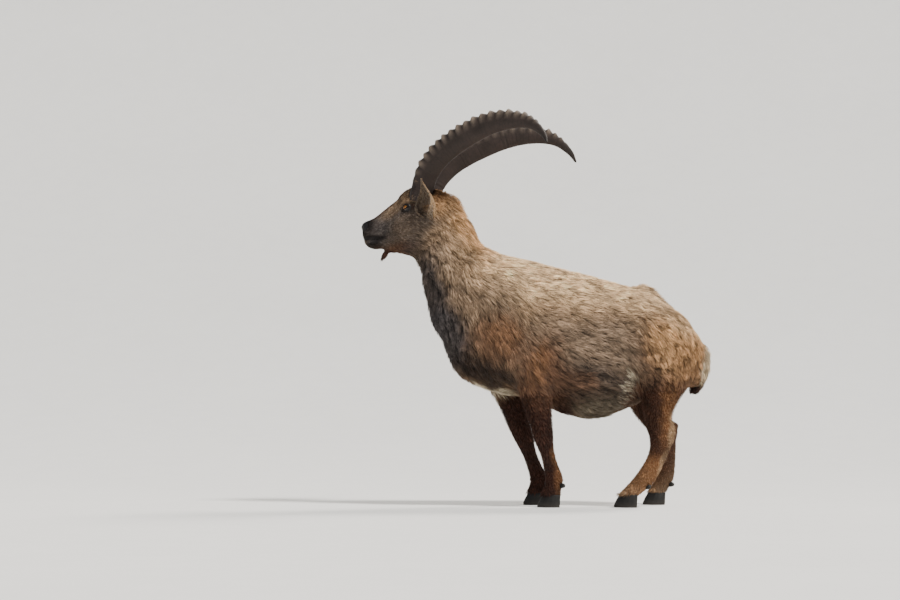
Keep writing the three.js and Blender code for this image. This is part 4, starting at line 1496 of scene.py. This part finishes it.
    @staticmethod
    def along(shell: Shell, tufts: Tufts, s: float, anatomy: Anatomy) -> tuple[np.ndarray, np.ndarray]:
        """The middle of each tuft at a share s of its length, and the shell's normal under it.

        Args:
            shell: The surface that the piece follows.
            tufts: What grows, and where.
            s: Share of the length, from 0 to 1.
            anatomy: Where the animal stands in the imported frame.

        Returns:
            The middles in millimetres, and the normals.
        """
        lift = tufts.rise * (1 - (1 - s) ** 2) - 1.5 * (1 - s)
        if s == 0.0:
            return tufts.points + tufts.normals * lift[:, None], tufts.normals
        reach = tufts.points + tufts.lie * (tufts.length * s)[:, None] + tufts.pull * s * s
        under, normal = shell.under(anatomy.place(reach))
        foot = smoothstep(-reach[:, 2], -62.0, -50.0)
        beard = beard_share(anatomy.off_head(tufts.points)) * smoothstep(-tufts.points[:, 0], 420.0, 440.0)
        loose = np.maximum(foot, beard)[:, None]
        normal = unit(normal * (1 - loose) + tufts.normals * loose)
        middle = anatomy.read(under) * (1 - loose) + reach * loose
        return middle + normal * (lift[:, None] * (1 + 0.5 * loose)), normal

    @staticmethod
    def unwrap(obj: bpy.types.Object, region: Region, points: np.ndarray, per: int,
               faces: np.ndarray) -> None:
        """Gives each tuft a small patch at its root's place on a rolled-out skin.

        Args:
            obj: The mesh object.
            region: Part of the coat.
            points: The tufts' roots, in millimetres.
            per: Vertices in a tuft.
            faces: Rows of vertex numbers.
        """
        x, y, z = points.T
        if region is Region.LEGS:
            leg = (y > 0).astype(int) * 2 + (x > 210).astype(int)
            levels = [50, 100, 200, 300, 450]
            fore = np.interp(z, levels, [50, 60, 40, 20, 0])
            hind = np.interp(z, levels, [330, 380, 430, 430, 440])
            axis = np.where(x > 210, hind, fore)
            angle = np.arctan2(x - axis, np.abs(y) - 112.0)
            u = (leg + 0.04 + 0.92 * (angle / (2 * math.pi) + 0.5)) / 4
            v = z
        elif region is Region.TRUNK:
            u = np.arctan2(y, z - (620.0 - 0.1 * x)) / (2 * math.pi) + 0.5
            v = x
        elif region is Region.TAIL:
            u = np.arctan2(y, x - 600.0) / (2 * math.pi) + 0.5
            v = z
        else:
            run = x * 0.45 + z * 0.89 if region is Region.NECK else x
            core = x * 0.89 - z * 0.45 + 690.0 if region is Region.NECK else z - 1010.0
            u = np.arctan2(y - 20.0, core) / (2 * math.pi) + 0.5
            v = run
        v = (v - v.min()) / max(float(np.ptp(v)), 1e-6)
        root = np.stack([u, v], axis=1) * 0.99 + 0.003
        across = np.array([[0.0, 0.0], [1.0, 0.0], [0.5, 0.3]])
        local = np.array([across[k % 3] + [0, 0.35 * (k // 3)] for k in range(per - 1)]
                         + [[0.5, 1.0]]) * 0.003
        uv = (root[:, None, :] + local[None]).reshape(-1, 2)
        layer = obj.data.uv_layers.new(name="OFBake")
        layer.data.foreach_set("uv", uv[faces.ravel()].astype(np.float32).ravel())


@dataclass
class Horns:
    """The two arched horns, with knobs across their front and fine growth rings.

    Attributes:
        back: How far back of the root the middle line runs.
        rise: How far above the root it runs.
        depth: Half depth, front to back.
        half: Half width.
        root: The root in the head's own frame.
        spread: How far each horn moves out from its root to its tip.
        knobs: Knobs there would be if they ran the whole length.
        knob_height: How far a full-grown knob stands out.
        rings: Cross-sections from end to end.
        segments: Points round a cross-section.
    """

    back: tuple[float, ...] = (-8, 0, 26, 70, 124, 188, 258, 332, 404, 456, 496, 514)
    rise: tuple[float, ...] = (-42, 0, 62, 114, 152, 184, 210, 222, 216, 195, 159, 126)
    depth: tuple[float, ...] = (42, 43, 45, 46, 46, 45, 42, 36, 27, 18, 11, 4)
    half: tuple[float, ...] = (29, 30, 30, 29, 28, 26, 24, 20, 15.5, 11.5, 8, 3.5)
    root: tuple[float, float, float] = HORN_ROOT
    spread: float = 142.0
    knobs: int = 26
    knob_height: float = 10.0
    rings: int = 420
    segments: int = 40

    def middle(self, t: np.ndarray, side: int, anatomy: Anatomy) -> np.ndarray:
        """The middle line of a horn in the animal's frame.

        Args:
            t: Places along the horn, from root to tip.
            side: LEFT or RIGHT.
            anatomy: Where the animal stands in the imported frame.

        Returns:
            A place for each t.
        """
        last = len(self.back) - 1
        x = self.root[0] + spline(self.back, t)
        y = side * (self.root[1] + self.spread * np.maximum(t - 1, 0) / (last - 1))
        z = self.root[2] + spline(self.rise, t)
        return anatomy.on_head(np.stack([x, y, z], axis=1))

    def build(self, anatomy: Anatomy, paints: Paintbox) -> None:
        """Builds both horns.

        Args:
            anatomy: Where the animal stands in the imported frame.
            paints: Where the materials come from.
        """
        material = paints.horn()
        for name, side in SIDES.items():
            obj, relief = self.horn(name, side, anatomy)
            paint(obj, "relief", relief)
            finish_piece(obj, material, [f"horn_{name}"])

    def horn(self, name: str, side: int, anatomy: Anatomy) -> tuple[bpy.types.Object, np.ndarray]:
        """Builds one horn and the map of its knobs, length and grooves.

        Args:
            name: left or right.
            side: LEFT or RIGHT.
            anatomy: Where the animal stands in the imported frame.

        Returns:
            The horn, and three numbers for each vertex.
        """
        last = len(self.back) - 1
        share = np.linspace(0, 1, self.rings)
        t = share * last
        at = self.middle(t, side, anatomy)
        along = unit(self.middle(np.minimum(t + 0.05, last), side, anatomy)
                     - self.middle(np.maximum(t - 0.05, 0), side, anatomy))
        outward = anatomy.head_direction(0, side, 0)
        out = unit(outward[None] - along * (along @ outward)[:, None])
        front = unit(np.cross(out, along))
        if front[self.rings // 3] @ anatomy.head_direction(-1, 0, 0.6) < 0:
            front = -front
        phase = share * self.knobs % 1.0
        wave = np.interp(phase, [0.0, 0.14, 0.3, 0.42, 0.66, 0.86, 1.0],
                         [0.0, 0.5, 1.0, 0.9, 0.42, 0.08, 0.0])
        grown = smoothstep(share, 0.1, 0.24) * (1 - smoothstep(share, 0.74, 0.9))
        knob = self.knob_height * wave * grown * (0.8 + 0.2 * np.sin(share * 40) ** 2)
        angle = np.arange(self.segments) / self.segments * math.pi * 2
        fore, lateral = np.cos(angle)[None], np.sin(angle)[None]
        broad = np.where(fore > 0, 1.0, 1 - 0.3 * fore * fore)
        flat = np.where(fore > 0, 0.9 * np.abs(fore) ** 0.55, fore)
        facing = smoothstep(fore, 0.02, 0.3)
        bump = knob[:, None] * facing
        uneven = share + 0.004 * np.sin(share * 61.0) + 0.003 * np.sin(share * 137.0 + 2.0)
        fine_rings = 0.4 * np.sin(uneven * 760.0)[:, None] + 0.35 * np.sin(uneven * 331.0 + 1.0)[:, None]
        fine_rings = fine_rings * (0.6 + 0.7 * noise(at, 26.0, 15))[:, None]
        fine_rings = fine_rings * (1 - smoothstep(share, 0.75, 0.95))[:, None]
        rough = noise(at, 7.0, 5)[:, None] * 0.5
        u = flat * spline(self.depth, t)[:, None] + bump + (fine_rings + rough) * np.sign(flat) * 0.7
        ridges = bump * 0.25 + fine_rings * 0.7
        v = lateral * spline(self.half, t)[:, None] * broad + np.sign(lateral) * ridges
        ring = at[:, None] + front[:, None] * u[..., None] + out[:, None] * v[..., None]
        tip = self.middle(np.array([float(last)]), side, anatomy) + along[-1:] * 5.0
        vertices = np.concatenate([ring.reshape(-1, 3), at[:1], tip])
        faces = self.faces()
        relief = np.zeros((len(vertices), 3))
        between = (1 - wave)[:, None] * grown[:, None] * facing * 0.5
        body = np.stack([
            (bump / self.knob_height) * np.ones_like(u),
            share[:, None] * np.ones_like(u),
            np.clip(-fine_rings, 0, 1) * np.ones_like(u) * 0.8 + between,
        ], axis=-1)
        relief[: self.rings * self.segments] = np.clip(body.reshape(-1, 3), 0, 1)
        relief[-1] = (0, 1, 0)
        return mesh_object(f"horn_{name}_keratin", anatomy.place(vertices), faces), relief

    def faces(self) -> np.ndarray:
        """Triangles of a horn's rings and its two ends.

        Returns:
            Rows of three vertex numbers.
        """
        k, j = np.meshgrid(np.arange(self.rings - 1), np.arange(self.segments), indexing="ij")
        a = (k * self.segments + j).ravel()
        b = (k * self.segments + (j + 1) % self.segments).ravel()
        up = self.segments
        sides = np.concatenate([np.stack([a, b, a + up], 1), np.stack([b, b + up, a + up], 1)])
        j = np.arange(self.segments)
        n = (j + 1) % self.segments
        low, tip = self.rings * self.segments, self.rings * self.segments + 1
        top = (self.rings - 1) * self.segments
        ends = np.concatenate([
            np.stack([n, j, np.full_like(j, low)], 1),
            np.stack([top + j, top + n, np.full_like(j, tip)], 1),
        ])
        return np.concatenate([sides, ends])


@dataclass
class Eyes:
    """Two eyeballs with their rims of lids.

    Attributes:
        radius: Radius of the ball, in millimetres.
        lid: Half thickness of the lids' rim, in millimetres.
    """

    radius: float = EYE_RADIUS
    lid: float = 1.9

    def build(self, anatomy: Anatomy, paints: Paintbox) -> None:
        """Builds both eyes and their lids.

        Args:
            anatomy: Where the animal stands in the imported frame.
            paints: Where the materials come from.
        """
        material = paints.eye()
        rims = []
        for name, side in SIDES.items():
            centre = anatomy.on_head(EYE_PLACE * [1, side, 1])
            out = anatomy.head_direction(-0.34, side * 0.92, 0.16)
            back = anatomy.head_direction(0.9, 0, 0.3)
            up = unit(np.cross(out, back))
            up = up if up[2] > 0 else -up
            along = unit(np.cross(up, out))
            self.ball(name, anatomy.place(centre), along, up, out, material)
            rims.append(self.rim(centre, along, up, out))
        vertices = np.concatenate([anatomy.place(v) for v, _ in rims])
        faces = np.concatenate([rims[0][1], rims[1][1] + len(rims[0][0])])
        lids = mesh_object("eyelids", vertices, faces)
        paint(lids, "pelt", np.tile(np.array(SOOT), (len(vertices), 1)))
        paint(lids, "bare", np.full(len(vertices), 0.25))
        finish_piece(lids, paints.skin(), [])

    def ball(self, name: str, centre: np.ndarray, along: np.ndarray, up: np.ndarray, out: np.ndarray,
             material: bpy.types.Material) -> None:
        """Builds one eyeball, with its own Z along its gaze and a cornea that bulges a little.

        Args:
            name: left or right.
            centre: Middle of the eyeball, in packed metres.
            along: Direction from corner to corner of the eye.
            up: Direction to the upper lid.
            out: Direction of the gaze.
            material: The material.
        """
        rings, segments = 40, 56
        polar = np.linspace(0, math.pi, rings + 1)[1:-1]
        turn = np.arange(segments) / segments * 2 * math.pi
        radius = self.radius * (1 + 0.045 * (1 - smoothstep(polar, 0.0, 0.62)))
        r = radius[:, None]
        grid = np.stack([
            r * np.sin(polar)[:, None] * np.cos(turn)[None],
            r * np.sin(polar)[:, None] * np.sin(turn)[None],
            r * np.cos(polar)[:, None] * np.ones(segments)[None],
        ], axis=-1).reshape(-1, 3)
        ends = np.array([[0, 0, self.radius * 1.045], [0, 0, -self.radius]])
        vertices = np.concatenate([grid, ends]) / MM
        k, j = np.meshgrid(np.arange(rings - 2), np.arange(segments), indexing="ij")
        a, b = (k * segments + j).ravel(), (k * segments + (j + 1) % segments).ravel()
        j = np.arange(segments)
        n = (j + 1) % segments
        low = (rings - 2) * segments
        faces = np.concatenate([
            np.stack([a, a + segments, b], 1),
            np.stack([b, a + segments, b + segments], 1),
            np.stack([j, n, np.full_like(j, len(grid))], 1),
            np.stack([low + n, low + j, np.full_like(j, len(grid) + 1)], 1),
        ])
        obj = mesh_object(f"eye_{name}_ball", vertices, faces)
        axes = Matrix(np.stack([along, up, out], axis=1).tolist()).to_4x4()
        obj.matrix_world = Matrix.Translation(Vector(centre)) @ axes
        finish_piece(obj, material, [f"eye_{name}"])

    def rim(self, centre: np.ndarray, along: np.ndarray, up: np.ndarray,
            out: np.ndarray) -> tuple[np.ndarray, np.ndarray]:
        """Builds the dark almond rim of an eye, as a closed tube that lies on the eyeball.

        Args:
            centre: Middle of the eyeball, in the animal's millimetres.
            along: Direction from corner to corner of the eye.
            up: Direction to the upper lid.
            out: Direction of the gaze.

        Returns:
            The vertices in millimetres, and the triangles.
        """
        steps, sides = 56, 10
        turn = np.arange(steps) / steps * 2 * math.pi
        a = 11.4 * np.cos(turn)
        b = np.where(np.sin(turn) > 0, 7.8, 6.6) * np.sin(turn)
        lift = np.sqrt(np.maximum((self.radius + 0.6) ** 2 - a * a - b * b, 20.0))
        path = a[:, None] * along + b[:, None] * up + lift[:, None] * out
        normal = unit(path)
        run = unit(np.roll(path, -1, axis=0) - np.roll(path, 1, axis=0))
        across = np.cross(run, normal)
        angle = np.arange(sides) / sides * 2 * math.pi
        thick = self.lid * (1 + 0.35 * np.sin(turn))[:, None, None]
        ring = path[:, None] + thick * (np.cos(angle)[None, :, None] * normal[:, None]
                                        + 1.3 * np.sin(angle)[None, :, None] * across[:, None])
        k, j = np.meshgrid(np.arange(steps), np.arange(sides), indexing="ij")
        n, m = (k + 1) % steps, (j + 1) % sides
        corners = [k * sides + j, k * sides + m, n * sides + m, n * sides + j]
        faces = np.stack(corners, axis=-1).reshape(-1, 4)
        tri = np.concatenate([faces[:, [0, 1, 2]], faces[:, [0, 2, 3]]])
        return ring.reshape(-1, 3) + centre, tri


@dataclass
class Ears:
    """The two cupped ears and their short fur.

    Attributes:
        voxel: Quad size, in metres.
        tufts: How many tufts both ears have.
        seed: Start of the random draws.
    """

    voxel: float = 0.0017
    tufts: int = 2400
    seed: int = 11

    def build(self, frame: dict, anatomy: Anatomy, markings: Markings, paints: Paintbox, coat: Coat,
              hair: bpy.types.Material) -> None:
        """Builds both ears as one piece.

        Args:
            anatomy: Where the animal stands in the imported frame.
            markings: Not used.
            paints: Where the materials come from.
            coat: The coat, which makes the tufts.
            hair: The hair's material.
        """
        names = [f"ear_{name}" for name in SIDES]
        shell = Shell.from_nodes(names, frame["nodes"], self.voxel)
        shell.smooth(14)
        self.shape(shell, anatomy)
        obj = mesh_object("ears", shell.vertices, shell.faces)
        points = anatomy.read(shell.vertices)
        colour, _ = self.colours(points, shell.normals(), anatomy)
        paint(obj, "pelt", colour)
        paint(obj, "bare", np.zeros(len(points)))
        finish_piece(obj, paints.skin(), names)
        self.fur(shell, anatomy, coat, hair)

    @staticmethod
    def shape(shell: Shell, anatomy: Anatomy) -> None:
        """Broadens the ears at their roots and draws them to narrow tips.

        Args:
            shell: The ears' shell, which is changed.
            anatomy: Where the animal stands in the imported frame.
        """
        local = anatomy.off_head(anatomy.read(shell.vertices))
        height = np.ptp(local[:, 2])
        h = (local[:, 2] - local[:, 2].min()) / height
        front = local[:, 0].min()
        reach = (local[:, 0] - front) * (1 + 0.45 * (1 - h) ** 2)
        middle = 0.34 * np.ptp(local[:, 0])
        local[:, 0] = front + middle + (reach - middle) * (1 - 0.4 * smoothstep(h, 0.5, 1.0))
        shell.vertices = anatomy.place(anatomy.on_head(local))

    @staticmethod
    def colours(points: np.ndarray, normals: np.ndarray, anatomy: Anatomy) -> tuple[np.ndarray, np.ndarray]:
        """The ears' colours, and how far each point faces out of the cup.

        Args:
            points: Places in the animal's frame, in millimetres.
            normals: Directions out of the surface.
            anatomy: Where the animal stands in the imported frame.

        Returns:
            The colours, and how far each point faces out.
        """
        side = np.sign(anatomy.off_head(points)[:, 1])
        cup = np.stack([anatomy.head_direction(-0.5, s * 0.8, -0.25) for s in (LEFT, RIGHT)])
        facing = np.sum(normals * cup[(side > 0).astype(int)], axis=1)
        inside = smoothstep(facing, -0.1, 0.5)
        x, z = anatomy.off_head(points)[:, [0, 2]].T
        back = smoothstep((x - x.min()) / np.ptp(x) + 0.5 * (z - z.min()) / np.ptp(z), 0.35, 0.8)[:, None]
        outer = np.array(EAR_BACK) * (1 - back) + np.array(EAR_EDGE) * back
        return outer + (np.array(EAR_CUP) - outer) * inside[:, None], inside

    def fur(self, shell: Shell, anatomy: Anatomy, coat: Coat, hair: bpy.types.Material) -> None:
        """Short hair over the ears, longer and paler in the cups.

        Args:
            shell: The surface that the piece follows.
            anatomy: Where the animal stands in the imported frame.
            coat: The coat, which makes the tufts.
            hair: The hair's material.
        """
        rng = np.random.default_rng(self.seed)
        pick = rng.integers(0, len(shell.vertices), int(self.tufts * coat.thin))
        normals = shell.normals()[pick]
        points = anatomy.read(shell.vertices[pick])
        colour, inside = self.colours(points, normals, anatomy)
        up = anatomy.head_direction(-0.02, 0.0, 1.0)
        side_sign = np.sign(anatomy.off_head(points)[:, 1])[:, None]
        aside = 0.45 * side_sign * anatomy.head_direction(0, 1, 0)[None]
        lie = up[None] + aside + rng.normal(0, 0.12, (len(points), 3))
        lie = unit(lie - normals * np.sum(lie * normals, axis=1, keepdims=True))
        style = TuftStyle(len(points), (7, 13), (1.4, 2.2), 2, 0.0, 8.0, 0.0)
        length = rng.uniform(*style.length, len(points)) * (1 + 0.5 * inside)
        width = rng.uniform(*style.width, len(points))
        rise = rng.uniform(1.0, 2.6, len(points)) * (1 + 0.8 * inside)
        tone = 1 + rng.normal(0, 0.12, len(points))
        pull = rng.normal(0, 0.6, (len(points), 3))
        tufts = Tufts(points, normals, lie, length, width, rise, pull, colour * tone[:, None])
        made = coat.assemble(Region.HEAD, style, shell, tufts, anatomy, hair)
        for number, obj in enumerate(made):
            obj.name = f"coat_ears_{number + 1}"


@dataclass
class Hooves:
    """The claws and dewclaws, rounded.

    Attributes:
        voxel: Quad size, in metres.
    """

    voxel: float = 0.0016

    def build(self, frame: dict, paints: Paintbox) -> None:
        """Builds all hooves as one piece.

        Args:
            paints: Where the materials come from.
        """
        kinds = [f"{kind}_{which}" for kind in ("hoof", "dewclaw") for which in ("outer", "inner")]
        names = [f"{foot}_{kind}" for foot in FEET for kind in kinds]
        shell = Shell.from_nodes(names, frame["nodes"], self.voxel)
        weight = smoothstep(shell.vertices[:, 2], 0.001, 0.006) * 0.9 + 0.1
        shell.smooth(10, weight)
        shell.vertices[:, 2] = np.maximum(shell.vertices[:, 2], 0.0002)
        obj = mesh_object("hooves", shell.vertices, shell.faces)
        finish_piece(obj, paints.hoof(), names)


@dataclass(frozen=True)
class Lamp:
    """A broad, even light from far off.

    Attributes:
        name: The light's name.
        place: Where it shines from, in metres from the animal.
        spread: How wide it looks, in degrees.
        power: Its strength.
        colour: Its colour.
    """

    name: str
    place: tuple[float, float, float]
    spread: float
    power: float
    colour: Colour


LAMPS = [
    Lamp("key", (2.3, -1.9, 4.0), 11.0, 5.6, (1.0, 0.965, 0.91)),
    Lamp("rim", (2.4, 2.4, 3.4), 18.0, 3.2, (1.0, 0.94, 0.86)),
    Lamp("fill", (-4.0, -3.6, 1.6), 50.0, 0.3, (0.9, 0.95, 1.0)),
]


@dataclass
class Studio:
    """The floor, the lights and the camera.

    Attributes:
        aim: Middle of the picture at the animal's midline, in the animal's millimetres.
        distance: From the camera to the midline, in metres.
        height: Height of the camera over the floor, in metres.
        wide: Width of the picture at the midline, in metres.
    """

    aim: tuple[float, float] = (-288.0, 738.0)
    distance: float = 7.0
    height: float = 0.3
    wide: float = 3.24

    def build(self, anatomy: Anatomy, paints: Paintbox) -> None:
        """Builds everything round the animal.

        Args:
            anatomy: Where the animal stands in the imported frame.
            paints: Where the materials come from.
        """
        self.floor(paints)
        self.camera(anatomy)
        for lamp in LAMPS:
            self.light(lamp)
        world = bpy.data.worlds.new("studio")
        world.use_nodes = True
        back = world.node_tree.nodes["Background"]
        back.inputs["Color"].default_value = (*SKY, 1.0)
        back.inputs["Strength"].default_value = 0.29
        bpy.context.scene.world = world

    def floor(self, paints: Paintbox) -> None:
        """A floor that curves up into a backdrop.

        Args:
            paints: Where the materials come from.
        """
        reach, bend, steps = 12.0, 10.5, 48
        profile = [(-30.0, 0.0), (reach - bend, 0.0)]
        for k in range(1, steps + 1):
            a = k / steps * math.pi / 2
            profile.append((reach - bend + bend * math.sin(a), bend - bend * math.cos(a)))
        profile.append((reach, bend + 2.0))
        rows = np.array([[(x, y, z) for x in (-30.0, 30.0)] for y, z in profile]).reshape(-1, 3)
        k = np.arange(len(profile) - 1) * 2
        faces = np.stack([k, k + 1, k + 3, k + 2], axis=1)
        obj = mesh_object("floor", rows, faces)
        obj.data.materials.append(paints.floor())

    def camera(self, anatomy: Anatomy) -> None:
        """The camera, level with the legs and looking slightly up.

        Args:
            anatomy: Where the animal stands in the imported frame.
        """
        target = anatomy.place(np.array([self.aim[0], 0.0, self.aim[1]]))
        place = np.array([target[0], target[1] - self.distance, self.height])
        data = bpy.data.cameras.new("camera")
        data.sensor_width = SENSOR
        look = Vector(target - place)
        data.lens = SENSOR * look.length / self.wide
        data.clip_end = 100.0
        obj = bpy.data.objects.new("camera", data)
        obj.location = Vector(place)
        obj.rotation_euler = look.to_track_quat("-Z", "Y").to_euler()
        bpy.context.scene.collection.objects.link(obj)
        bpy.context.scene.camera = obj

    def light(self, lamp: Lamp) -> None:
        """Hangs a lamp and turns it to the animal.

        Args:
            lamp: Its place, spread, power and colour.
        """
        data = bpy.data.lights.new(lamp.name, "SUN")
        data.angle = math.radians(lamp.spread)
        data.energy = lamp.power
        data.color = lamp.colour
        obj = bpy.data.objects.new(lamp.name, data)
        obj.location = Vector(lamp.place)
        obj.rotation_euler = (-Vector(lamp.place)).to_track_quat("-Z", "Y").to_euler()
        bpy.context.scene.collection.objects.link(obj)


def main() -> None:
    """Builds the model from the body outwards."""
    logging.basicConfig(level=logging.INFO, format="%(message)s")
    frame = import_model()
    anatomy = Anatomy.from_frame()
    markings = Markings(anatomy)
    paints = Paintbox()
    Studio().build(anatomy, paints)
    skin = Skin()
    coat = Coat(thin=1.0)
    hair = paints.coat()
    shells = skin.build(frame, anatomy, markings, paints)
    coat.build(shells, anatomy, markings, hair)
    Horns().build(anatomy, paints)
    Eyes().build(anatomy, paints)
    Ears().build(frame, anatomy, markings, paints, coat, hair)
    Hooves().build(frame, paints)


if __name__ == "__main__":
    main()
